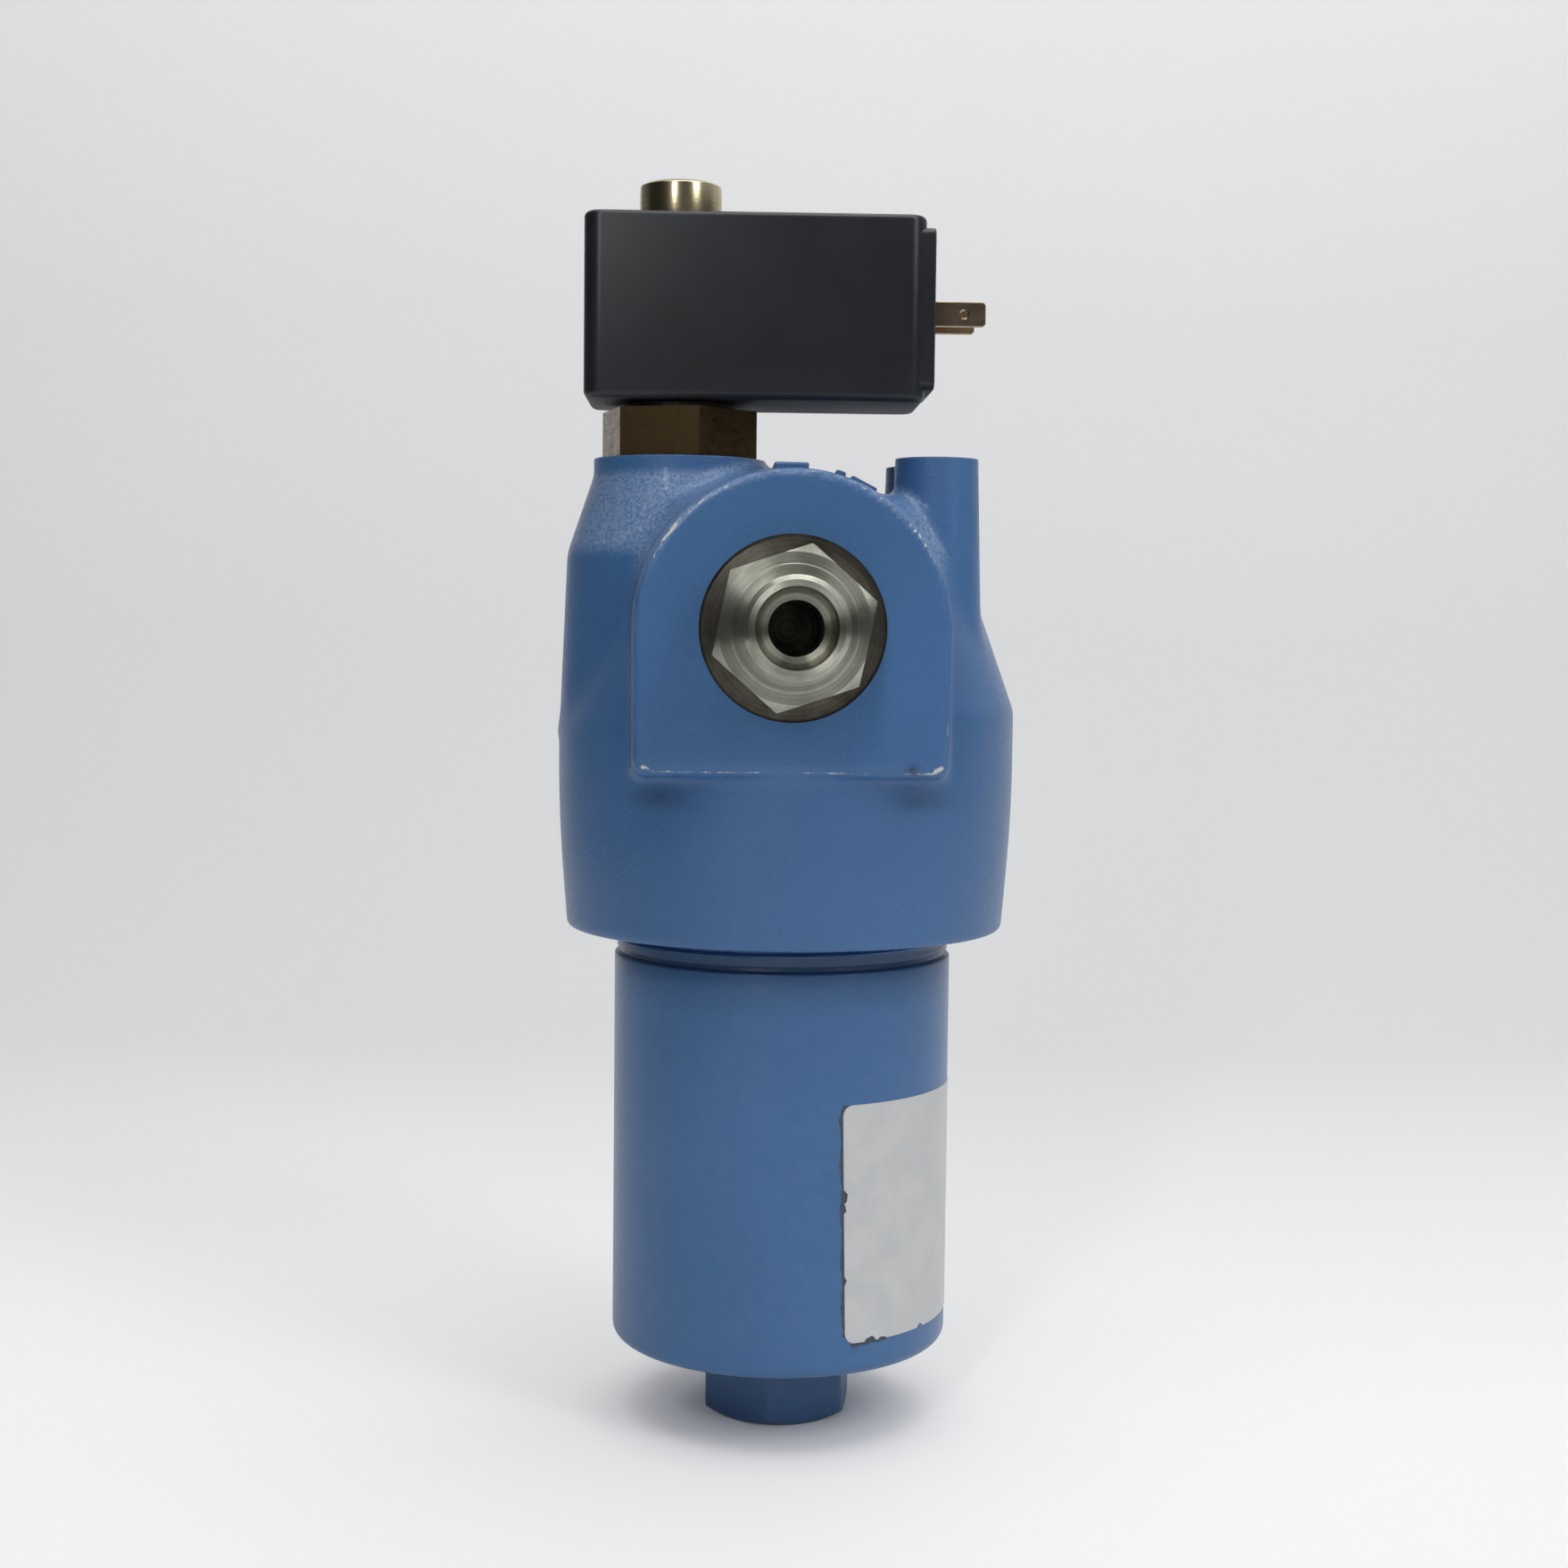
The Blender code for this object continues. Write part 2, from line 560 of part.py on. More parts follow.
def bypass_drilling():
    """Bore of the bypass valve with the groove of its retaining ring."""
    bore = BYPASS_BORE / 2
    groove = bore + RETAINING_RING_BITE
    ring_bottom = CEILING_Z + CLEARANCE
    ring_top = ring_bottom + RETAINING_RING_THICKNESS + 2 * CLEARANCE
    profile = [(0, CEILING_Z - SUMP_DEPTH), (bore, CEILING_Z - SUMP_DEPTH), (bore, ring_bottom),
               (groove, ring_bottom), (groove, ring_top), (bore, ring_top), (bore, BYPASS_TOP_Z),
               (0, BYPASS_TOP_Z)]
    return turned("bypass_drilling", profile, COARSE_FACETS, location=(BYPASS_OFFSET, 0, 0))


def filter_head():
    """Casting: round skirt, port barrel, indicator column and bosses, then all machined bores."""
    head = turned("filter_head", skirt_profile(), FINE_FACETS)
    bosses = [mounting_boss(place) for place in mounting_boss_places()]
    for form in (indicator_column(), port_tunnel(), *bosses, flow_arrow()):
        combine(head, form, "UNION")
    passage_roof = PORT_Z + PASSAGE_DIAMETER / 2
    drop_end = -(DROP_OFFSET - DROP_DIAMETER / 2)
    drills = [
        bowl_cavity(),
        port_drilling("inlet_drilling", ALONG_MINUS_Y, -drop_end),
        port_drilling("outlet_drilling", ALONG_PLUS_Y, 0),
        cylinder("inlet_drop", DROP_DIAMETER / 2, CEILING_Z - SUMP_DEPTH, PORT_Z,
                 location=(0, -DROP_OFFSET, 0)),
        cylinder("spigot_drilling", SPIGOT_BORE / 2, SPIGOT_END_Z - SUMP_DEPTH, passage_roof),
        indicator_drilling(),
        cylinder("clean_tap", TAP_DIAMETER / 2, -INDICATOR_OFFSET, 0,
                 location=(0, 0, PORT_Z + CLEAN_TAP_RISE), rotation=ALONG_PLUS_X),
        bypass_drilling(),
        cylinder("bypass_window", BYPASS_WINDOW_DIAMETER / 2, 0, BYPASS_OFFSET,
                 location=(0, 0, CEILING_Z + BYPASS_WINDOW_RISE), rotation=ALONG_PLUS_X),
    ]
    for place in mounting_boss_places():
        drills.append(cylinder("mounting_hole", MOUNTING_HOLE_DIAMETER / 2, BOSS_Z - MOUNTING_HOLE_DEPTH,
                               BOSS_Z + SUMP_DEPTH, location=place))
    for drill in drills:
        combine(head, drill, "DIFFERENCE")
    return head


def filter_bowl():
    """Thick-walled bowl with a hexagon foot, external thread and a grooved sealing pilot."""
    outside = BOWL_DIAMETER / 2
    thread = THREAD_DIAMETER / 2
    pilot = PILOT_DIAMETER / 2
    groove = pilot - SEAL_GROOVE_DEPTH
    groove_z = THREAD_TOP_Z + SEAL_GROOVE_START
    bore = BOWL_BORE / 2
    shank_top = THREAD_TOP_Z - CLEARANCE
    profile = [(0, FOOT_LENGTH)]
    profile += arc((outside - BOWL_EDGE_RADIUS, FOOT_LENGTH + BOWL_EDGE_RADIUS), BOWL_EDGE_RADIUS, -90, 0)
    profile += [(outside, BOWL_SHOULDER_Z - SHOULDER_CHAMFER), (thread, BOWL_SHOULDER_Z),
                (thread, shank_top - PILOT_CHAMFER), (thread - PILOT_CHAMFER, shank_top),
                (pilot, shank_top), (pilot, groove_z), (groove, groove_z),
                (groove, groove_z + SEAL_GROOVE_WIDTH), (pilot, groove_z + SEAL_GROOVE_WIDTH),
                (pilot, BOWL_TOP_Z - PILOT_CHAMFER), (pilot - PILOT_CHAMFER, BOWL_TOP_Z), (bore, BOWL_TOP_Z)]
    corner = (bore - BOWL_BORE_RADIUS, BOWL_FLOOR_Z + BOWL_BORE_RADIUS)
    profile += arc(corner, BOWL_BORE_RADIUS, 0, -90)
    profile += [(0, BOWL_FLOOR_Z)]
    bowl = turned("filter_bowl", profile, FINE_FACETS)
    foot = chamfered_hexagon("foot_hexagon", FOOT_ACROSS_FLATS, FOOT_CORNER_ANGLE, 0,
                             FOOT_LENGTH + BOWL_FLOOR / 2, FOOT_CHAMFER, 0)
    combine(bowl, foot, "UNION")
    return bowl


def bowl_o_ring():
    groove = PILOT_DIAMETER / 2 - SEAL_GROOVE_DEPTH
    section = SEAL_GROOVE_WIDTH - BACKUP_RING_WIDTH - 3 * CLEARANCE
    height = THREAD_TOP_Z + SEAL_GROOVE_START + CLEARANCE + section / 2
    return torus("bowl_o_ring", groove + CLEARANCE / 2 + section / 2, section, height, FINE_FACETS)


def bowl_backup_ring():
    inner = PILOT_DIAMETER / 2 - SEAL_GROOVE_DEPTH + CLEARANCE
    top = THREAD_TOP_Z + SEAL_GROOVE_START + SEAL_GROOVE_WIDTH - CLEARANCE
    profile = washer(inner, PILOT_DIAMETER / 2, top - BACKUP_RING_WIDTH, top)
    return turned("bowl_backup_ring", profile, FINE_FACETS)


def port_adapter():
    """Bright steel adapter: seal collar, hexagon, and a threaded end with a 24-degree cone for a tube."""
    shank = PORT_THREAD_DIAMETER / 2 - CLEARANCE
    collar = ADAPTER_COLLAR_DIAMETER / 2
    step = ADAPTER_STEP_DIAMETER / 2
    relief = ADAPTER_RELIEF_DIAMETER / 2
    thread = ADAPTER_THREAD_DIAMETER / 2
    bore = ADAPTER_BORE / 2
    tube = TUBE_DIAMETER / 2
    mouth = CONE_MOUTH_DIAMETER / 2
    groove = shank + ADAPTER_SEAL_SECTION + 2 * CLEARANCE
    base = CLEARANCE
    hex_bottom = base + ADAPTER_COLLAR_LENGTH
    hex_top = hex_bottom + ADAPTER_HEX_LENGTH
    step_top = hex_top + ADAPTER_STEP_LENGTH
    relief_top = step_top + ADAPTER_RELIEF_LENGTH
    end = relief_top + ADAPTER_THREAD_LENGTH
    cone_bottom = end - (mouth - tube) / math.tan(CONE_HALF_ANGLE)
    profile = [(0, -ADAPTER_SHANK_LENGTH), (shank - ADAPTER_END_CHAMFER, -ADAPTER_SHANK_LENGTH),
               (shank, -ADAPTER_SHANK_LENGTH + ADAPTER_END_CHAMFER),
               (shank, base + ADAPTER_SEAL_SECTION), (groove, base + ADAPTER_SEAL_SECTION), (groove, base),
               (collar, base), (collar, hex_bottom + CLEARANCE), (step, hex_bottom + CLEARANCE),
               (step, step_top), (relief, step_top), (relief, relief_top),
               (thread, relief_top + ADAPTER_END_CHAMFER), (thread, end - ADAPTER_END_CHAMFER),
               (thread - ADAPTER_END_CHAMFER, end), (0, end)]
    place = {"location": (0, -SPOT_FACE_Y, PORT_Z), "rotation": ALONG_MINUS_Y}
    adapter = turned("port_adapter", profile, MEDIUM_FACETS, **place)
    combine(adapter, chamfered_hexagon("adapter_hexagon", ADAPTER_ACROSS_FLATS, ADAPTER_CORNER_ANGLE,
                                       hex_bottom, hex_top, ADAPTER_END_CHAMFER / 2, ADAPTER_END_CHAMFER,
                                       **place), "UNION")
    passage = [(0, -ADAPTER_SHANK_LENGTH - CLEARANCE), (bore, -ADAPTER_SHANK_LENGTH - CLEARANCE),
               (bore, end - TUBE_STOP_DEPTH), (tube, end - TUBE_STOP_DEPTH), (tube, cone_bottom),
               (mouth + CLEARANCE * math.tan(CONE_HALF_ANGLE), end + CLEARANCE), (0, end + CLEARANCE)]
    combine(adapter, turned("adapter_passage", passage, MEDIUM_FACETS, **place), "DIFFERENCE")
    return adapter


def port_adapter_seal():
    """Soft ring in the groove under the adapter's collar."""
    inner = PORT_THREAD_DIAMETER / 2
    profile = washer(inner, inner + ADAPTER_SEAL_SECTION - CLEARANCE, CLEARANCE / 2, ADAPTER_SEAL_SECTION)
    return turned("port_adapter_seal", profile, MEDIUM_FACETS, location=(0, -SPOT_FACE_Y, PORT_Z),
                  rotation=ALONG_MINUS_Y)


def element_top_cap():
    """Cap with a collar that slides over the head's spigot and an inner groove for its seal."""
    rim = CAP_DIAMETER / 2
    collar = COLLAR_DIAMETER / 2
    bore = SPIGOT_DIAMETER / 2 + CLEARANCE
    groove = bore + ELEMENT_SEAL_SECTION + CLEARANCE
    groove_z = TOP_CAP_Z + COLLAR_GROOVE_START
    groove_top = groove_z + ELEMENT_SEAL_SECTION + 2 * CLEARANCE
    top = TOP_CAP_Z + COLLAR_LENGTH
    underside = TOP_CAP_Z - CAP_THICKNESS
    flow = SPIGOT_BORE / 2
    lip = underside - CAP_RIM_HEIGHT
    profile = [(flow, underside), (rim - CAP_RIM_WALL, underside), (rim - CAP_RIM_WALL, lip),
               (rim, lip), (rim, TOP_CAP_Z), (collar, TOP_CAP_Z), (collar, top),
               (bore, top), (bore, groove_top), (groove, groove_top), (groove, groove_z), (bore, groove_z),
               (bore, TOP_CAP_Z), (flow, TOP_CAP_Z)]
    return turned("element_top_cap", profile, MEDIUM_FACETS)


def element_o_ring():
    inner = SPIGOT_DIAMETER / 2 + CLEARANCE
    height = TOP_CAP_Z + COLLAR_GROOVE_START + CLEARANCE + ELEMENT_SEAL_SECTION / 2
    return torus("element_o_ring", inner + ELEMENT_SEAL_SECTION / 2, ELEMENT_SEAL_SECTION, height)


def element_bottom_cap():
    """Closed cap with a stub that stands on the floor of the bowl."""
    rim = CAP_DIAMETER / 2
    floor = BOTTOM_CAP_Z + CAP_THICKNESS
    profile = [(0, BOWL_FLOOR_Z + CLEARANCE), (STUB_DIAMETER / 2, BOWL_FLOOR_Z + CLEARANCE),
               (STUB_DIAMETER / 2, BOTTOM_CAP_Z), (rim, BOTTOM_CAP_Z), (rim, floor + CAP_RIM_HEIGHT),
               (rim - CAP_RIM_WALL, floor + CAP_RIM_HEIGHT), (rim - CAP_RIM_WALL, floor), (0, floor)]
    return turned("element_bottom_cap", profile, MEDIUM_FACETS)


def element_pleats():
    """Star-folded medium: one closed band that runs out and back for each pleat."""
    half_pitch = math.pi / PLEAT_COUNT
    bm = bmesh.new()
    loops = {"outside": [], "inside": []}
    for fold in range(2 * PLEAT_COUNT):
        angle = fold * half_pitch
        tip = fold % 2 == 0
        radius = PLEAT_OUTER_RADIUS if tip else PLEAT_INNER_RADIUS
        spread = PLEAT_THICKNESS / (2 * radius)
        for shift in (-spread, spread):
            if tip:
                loops["outside"].append((radius, angle + shift))
                loops["inside"].append((radius - 2 * PLEAT_THICKNESS, angle + shift * PLEAT_PINCH))
            else:
                loops["outside"].append((radius + 2 * PLEAT_THICKNESS, angle + shift * PLEAT_PINCH))
                loops["inside"].append((radius, angle + shift))
    rings = []
    for face, height in (("outside", MEDIUM_BOTTOM_Z), ("outside", MEDIUM_TOP_Z),
                         ("inside", MEDIUM_TOP_Z), ("inside", MEDIUM_BOTTOM_Z)):
        rings.append([bm.verts.new((r * math.cos(a), r * math.sin(a), height)) for r, a in loops[face]])
    count = len(rings[0])
    for index in range(count):
        after = (index + 1) % count
        for first, second in zip(rings, rings[1:] + rings[:1]):
            bm.faces.new((first[index], first[after], second[after], second[index]))
    return add_object("element_pleats", bm)


def element_core_tube():
    """Support tube with staggered slots, rolled from a slotted sheet."""
    rise = (MEDIUM_TOP_Z - MEDIUM_BOTTOM_Z) / CORE_ROWS
    bm = bmesh.new()
    rows = []
    for row in range(CORE_ROWS + 1):
        height = MEDIUM_BOTTOM_Z + row * rise
        ring = []
        for column in range(CORE_COLUMNS):
            angle = column * 2 * math.pi / CORE_COLUMNS
            ring.append(bm.verts.new((CORE_RADIUS * math.cos(angle), CORE_RADIUS * math.sin(angle), height)))
        rows.append(ring)
    for row in range(CORE_ROWS):
        for column in range(CORE_COLUMNS):
            after = (column + 1) % CORE_COLUMNS
            slot_row = row % 2 == 1
            slot_column = column % CORE_SLOT_PITCH == (row // 2 % 2) * CORE_SLOT_PITCH // 2
            if slot_row and slot_column:
                continue
            bm.faces.new((rows[row][column], rows[row][after], rows[row + 1][after], rows[row + 1][column]))
    tube = add_object("element_core_tube", bm)
    wall = tube.modifiers.new("wall", "SOLIDIFY")
    wall.thickness = CORE_WALL
    wall.offset = -1
    return tube


def bypass_retaining_ring():
    outer = BYPASS_BORE / 2 + RETAINING_RING_BITE - CLEARANCE
    bottom = CEILING_Z + 2 * CLEARANCE
    profile = washer(outer - RETAINING_RING_WIDTH, outer, bottom, bottom + RETAINING_RING_THICKNESS)
    return turned("bypass_retaining_ring", profile, COARSE_FACETS, location=(BYPASS_OFFSET, 0, 0))


def bypass_seat():
    """Valve seat held up in its bore by the retaining ring."""
    outer = BYPASS_BORE / 2 - CLEARANCE
    profile = washer(SEAT_BORE / 2, outer, BYPASS_SEAT_Z, BYPASS_SEAT_Z + SEAT_HEIGHT)
    return turned("bypass_seat", profile, COARSE_FACETS, location=(BYPASS_OFFSET, 0, 0))


def bypass_poppet():
    """Disc that closes the seat, with a nose below and a spring guide above."""
    disc = POPPET_DIAMETER / 2
    nose = SEAT_BORE / 2 - 2 * CLEARANCE
    stem = POPPET_STEM_DIAMETER / 2
    top = POPPET_Z + POPPET_THICKNESS
    tip = POPPET_Z - POPPET_NOSE_LENGTH
    stem_top = top + POPPET_STEM_LENGTH
    profile = [(0, tip), (nose / 2, tip), (nose, POPPET_Z), (disc, POPPET_Z), (disc, top), (stem, top),
               (stem, stem_top), (0, stem_top)]
    return turned("bypass_poppet", profile, COARSE_FACETS, location=(BYPASS_OFFSET, 0, 0))


def bypass_spring():
    return coil("bypass_spring", BYPASS_COIL_DIAMETER / 2, BYPASS_WIRE, BYPASS_SPRING_Z,
                BYPASS_TOP_Z - CLEARANCE, BYPASS_COILS, location=(BYPASS_OFFSET, 0, 0))


def indicator_body():
    """Brass body: grooved nose, threaded shank, hexagon, and a hollow stem that carries the housing."""
    nose = NOSE_DIAMETER / 2
    shank = SHANK_DIAMETER / 2
    stem = STEM_DIAMETER / 2
    groove = nose - NOSE_SEAL_SECTION
    groove_z = NOSE_END_Z + NOSE_GROOVE_START
    groove_top = groove_z + NOSE_SEAL_SECTION + 2 * CLEARANCE
    shank_top = INDICATOR_HEX_Z + CLEARANCE
    profile = [(0, NOSE_END_Z), (nose - CLEARANCE, NOSE_END_Z), (nose, NOSE_END_Z + CLEARANCE),
               (nose, groove_z), (groove, groove_z), (groove, groove_top), (nose, groove_top),
               (nose, SHANK_END_Z), (shank, SHANK_END_Z), (shank, shank_top), (stem, shank_top),
               (stem, STEM_TOP_Z), (0, STEM_TOP_Z)]
    place = {"location": (-INDICATOR_OFFSET, 0, 0)}
    body = turned("indicator_body", profile, MEDIUM_FACETS, **place)
    combine(body, chamfered_hexagon("indicator_hexagon", INDICATOR_ACROSS_FLATS, INDICATOR_CORNER_ANGLE,
                                    INDICATOR_HEX_Z, INDICATOR_HEX_TOP_Z, INDICATOR_HEX_CHAMFER,
                                    INDICATOR_HEX_CHAMFER, **place), "UNION")
    magnet_top = SPRING_BORE_TOP_Z + MAGNET_BORE_LENGTH
    bore = [(0, NOSE_END_Z - CLEARANCE), (SPRING_BORE / 2, NOSE_END_Z - CLEARANCE),
            (SPRING_BORE / 2, SPRING_BORE_TOP_Z), (MAGNET_BORE / 2, SPRING_BORE_TOP_Z),
            (MAGNET_BORE / 2, magnet_top), (0, magnet_top)]
    combine(body, turned("indicator_bore", bore, COARSE_FACETS, **place), "DIFFERENCE")
    cross_hole = cylinder("cross_hole", CROSS_HOLE_DIAMETER / 2, -nose - CLEARANCE, nose + CLEARANCE,
                          location=(-INDICATOR_OFFSET, 0, NOSE_END_Z + CROSS_HOLE_RISE),
                          rotation=ALONG_MINUS_Y)
    combine(body, cross_hole, "DIFFERENCE")
    return body


def indicator_nose_o_ring():
    ring = NOSE_DIAMETER / 2 - NOSE_SEAL_SECTION / 2 + CLEARANCE / 2
    section = NOSE_SEAL_SECTION - CLEARANCE / 2
    height = NOSE_END_Z + NOSE_GROOVE_START + CLEARANCE + NOSE_SEAL_SECTION / 2
    return torus("indicator_nose_o_ring", ring, section, height, location=(-INDICATOR_OFFSET, 0, 0))


def indicator_boss_o_ring():
    section = BOSS_SEAL_SECTION - CLEARANCE
    ring = SHANK_DIAMETER / 2 + CLEARANCE + section / 2
    height = BOSS_Z - BOSS_SEAL_SECTION / 2 + CLEARANCE / 2
    return torus("indicator_boss_o_ring", ring, section, height, location=(-INDICATOR_OFFSET, 0, 0))


def piston_stop_ring():
    """Ring sprung into the mouth of the bore, which the piston rests on."""
    outer = SPRING_BORE / 2 - CLEARANCE / 2
    bottom = NOSE_END_Z + CLEARANCE
    profile = washer(outer - STOP_RING_WALL, outer, bottom, bottom + STOP_RING_HEIGHT)
    return turned("piston_stop_ring", profile, COARSE_FACETS, location=(-INDICATOR_OFFSET, 0, 0))


def indicator_piston():
    """Piston with the stem that carries the magnet up into the housing."""
    head = PISTON_DIAMETER / 2
    stem = PISTON_STEM_DIAMETER / 2
    collar = MAGNET_DIAMETER / 2 - CLEARANCE / 2
    collar_top = MAGNET_Z - CLEARANCE
    spindle = stem / 2
    profile = [(0, PISTON_Z), (head, PISTON_Z), (head, PISTON_HEAD_TOP_Z), (stem, PISTON_HEAD_TOP_Z),
               (stem, collar_top - MAGNET_COLLAR_LENGTH), (collar, collar_top - MAGNET_COLLAR_LENGTH),
               (collar, collar_top), (spindle, collar_top), (spindle, PISTON_TOP_Z), (0, PISTON_TOP_Z)]
    return turned("indicator_piston", profile, COARSE_FACETS, location=(-INDICATOR_OFFSET, 0, 0))


def indicator_magnet():
    inner = PISTON_STEM_DIAMETER / 4 + CLEARANCE
    profile = washer(inner, MAGNET_DIAMETER / 2, MAGNET_Z, MAGNET_Z + MAGNET_LENGTH)
    return turned("indicator_magnet", profile, COARSE_FACETS, location=(-INDICATOR_OFFSET, 0, 0))


def indicator_spring():
    return coil("indicator_spring", INDICATOR_COIL_DIAMETER / 2, INDICATOR_WIRE,
                PISTON_HEAD_TOP_Z + CLEARANCE, SPRING_BORE_TOP_Z - CLEARANCE, INDICATOR_COILS,
                location=(-INDICATOR_OFFSET, 0, 0))


def switch_housing():
    """Moulded box with all edges rounded, bored for the stem and open at the connector end."""
    length = HOUSING_BACK + HOUSING_FRONT
    middle_x = (HOUSING_FRONT - HOUSING_BACK) / 2
    bm = bmesh.new()
    bmesh.ops.create_cube(bm, size=1)
    bmesh.ops.scale(bm, vec=(length, HOUSING_WIDTH, HOUSING_HEIGHT), verts=bm.verts)
    bmesh.ops.translate(bm, vec=(middle_x, 0, HOUSING_Z + HOUSING_HEIGHT / 2), verts=bm.verts)
    bmesh.ops.bevel(bm, geom=bm.edges[:], offset=HOUSING_RADIUS, segments=4, profile=0.5, affect="EDGES")
    place = {"location": (-INDICATOR_OFFSET, 0, 0)}
    housing = add_object("switch_housing", bm, **place)
    stem = STEM_DIAMETER / 2 + CLEARANCE
    seat = NUT_DIAMETER / 2 - NUT_CHAMFER
    seat_floor = UPPER_GASKET_Z - CLEARANCE
    below = HOUSING_Z - CLEARANCE
    above = HOUSING_TOP_Z + CLEARANCE
    bore = [(0, below), (stem, below), (stem, seat_floor), (seat, seat_floor), (seat, above), (0, above)]
    combine(housing, turned("stem_bore", bore, MEDIUM_FACETS, **place), "DIFFERENCE")
    pocket_start = STEM_DIAMETER / 2 + POCKET_TO_STEM
    inset = 2 * POCKET_WALL
    outline = rounded_rectangle(HOUSING_HEIGHT - inset, HOUSING_WIDTH - inset, PLATE_RADIUS)
    pocket = lofted("pocket", [(pocket_start, outline), (HOUSING_FRONT + CLEARANCE, outline)],
                    location=(-INDICATOR_OFFSET, 0, BLADE_Z), rotation=ALONG_PLUS_X)
    combine(housing, pocket, "DIFFERENCE")
    return housing


def gasket(name, inner, outer, bottom):
    profile = washer(inner, outer, bottom, bottom + GASKET_THICKNESS)
    return turned(name, profile, MEDIUM_FACETS, location=(-INDICATOR_OFFSET, 0, 0))


def housing_gaskets():
    """Flat rings that seal the housing to the hexagon below and to the nut above."""
    inner = STEM_DIAMETER / 2 + CLEARANCE
    upper_outer = NUT_DIAMETER / 2 - NUT_CHAMFER - CLEARANCE
    return [gasket("housing_lower_gasket", inner, GASKET_DIAMETER / 2, LOWER_GASKET_Z),
            gasket("housing_upper_gasket", inner, upper_outer, UPPER_GASKET_Z)]


def retaining_nut():
    """Round brass nut with a screwdriver slot, screwed on the end of the stem."""
    outer = NUT_DIAMETER / 2
    bore = STEM_DIAMETER / 2 + CLEARANCE
    top = NUT_Z + NUT_HEIGHT
    profile = [(0, top - NUT_ROOF), (bore, top - NUT_ROOF), (bore, NUT_Z), (outer - NUT_CHAMFER / 2, NUT_Z),
               (outer, NUT_Z + NUT_CHAMFER / 2), (outer, top - NUT_CHAMFER), (outer - NUT_CHAMFER, top),
               (0, top)]
    place = {"location": (-INDICATOR_OFFSET, 0, 0)}
    nut = turned("retaining_nut", profile, MEDIUM_FACETS, **place)
    outline = rounded_rectangle(NUT_DIAMETER * 2, SLOT_WIDTH, CLEARANCE)
    slot = lofted("nut_slot", [(top - SLOT_DEPTH, outline), (top + CLEARANCE, outline)], **place)
    combine(nut, slot, "DIFFERENCE")
    return nut


def connector_plate():
    """Connector base: flange on the end of the housing and a plug that fits its pocket."""
    flange = rounded_rectangle(PLATE_HEIGHT, PLATE_WIDTH, PLATE_RADIUS)
    inset = 2 * (POCKET_WALL + CLEARANCE)
    plug = rounded_rectangle(HOUSING_HEIGHT - inset, HOUSING_WIDTH - inset, PLATE_RADIUS)
    place = {"location": (PLATE_X, 0, BLADE_Z), "rotation": ALONG_PLUS_X}
    plate = lofted("connector_plate", [(0, flange), (PLATE_THICKNESS, flange)], **place)
    body = lofted("connector_plug", [(-PLUG_DEPTH, plug), (PLATE_THICKNESS / 2, plug)], **place)
    combine(plate, body, "UNION")
    slot = rounded_rectangle(BLADE_WIDTH + 2 * CLEARANCE, BLADE_THICKNESS + 2 * CLEARANCE, CLEARANCE)
    slot_bottom = -BLADE_BURIED - CLEARANCE
    for name, side in BLADE_PLACES:
        cut = lofted(name + "_slot", [(slot_bottom, slot), (PLATE_THICKNESS + CLEARANCE, slot)],
                     location=(PLATE_X, side, BLADE_Z), rotation=ALONG_PLUS_X)
        combine(plate, cut, "DIFFERENCE")
    return plate


def contact_blade(name, side):
    """Flat contact with a tapered tip and a locating hole."""
    root = PLATE_X - BLADE_BURIED
    tip = PLATE_X + PLATE_THICKNESS + BLADE_SHOWN
    half = BLADE_WIDTH / 2
    outline = [(root, -half), (tip - BLADE_TIP, -half), (tip, -half + BLADE_TIP), (tip, half - BLADE_TIP),
               (tip - BLADE_TIP, half), (root, half)]
    place = {"location": (0, side, BLADE_Z), "rotation": ALONG_MINUS_Y}
    thick = BLADE_THICKNESS / 2
    blade = lofted(name, [(-thick, outline), (thick, outline)], **place)
    hole = cylinder(name + "_hole", BLADE_HOLE_DIAMETER / 2, -BLADE_THICKNESS, BLADE_THICKNESS,
                    location=(tip - BLADE_HOLE_INSET, side, BLADE_Z), rotation=ALONG_MINUS_Y)
    combine(blade, hole, "DIFFERENCE")
    return blade


def contact_blades():
    """The two blades of the connector."""
    return [contact_blade(name, side) for name, side in BLADE_PLACES]


def reed_switch():
    """Glass reed switch that stands against the pocket wall beside the magnet."""
    radius = REED_DIAMETER / 2
    x = -INDICATOR_OFFSET + STEM_DIAMETER / 2 + POCKET_TO_STEM + CLEARANCE + radius
    bottom = HOUSING_Z + REED_RISE
    top = bottom + REED_LENGTH
    lead = radius / 3
    profile = [(0, bottom - radius), (lead, bottom - radius), (lead, bottom)]
    profile += [(radius, bottom + radius), (radius, top - radius)]
    profile += [(lead, top), (lead, top + radius), (0, top + radius)]
    return turned("reed_switch", profile, COARSE_FACETS, location=(x, 0, 0))


FINISHES = {
    "blue_enamel": ("#47658F", 0.42, 0.0),
    "plated_steel": ("#B9B7B2", 0.3, 1.0),
    "brass": ("#B9975A", 0.34, 1.0),
    "black_thermoplastic": ("#26292D", 0.5, 0.0),
    "nitrile_rubber": ("#17181A", 0.6, 0.0),
    "ptfe": ("#E6E4DC", 0.5, 0.0),
    "tinned_brass": ("#A9A7A0", 0.32, 1.0),
    "spring_steel": ("#8C8D8F", 0.35, 1.0),
    "tinplate": ("#C3C4C4", 0.38, 1.0),
    "glass_fibre_medium": ("#EFEDE4", 0.9, 0.0),
    "magnet_ferrite": ("#3A3A3C", 0.55, 0.3),
    "reed_glass": ("#9DB8A4", 0.1, 0.0),
}

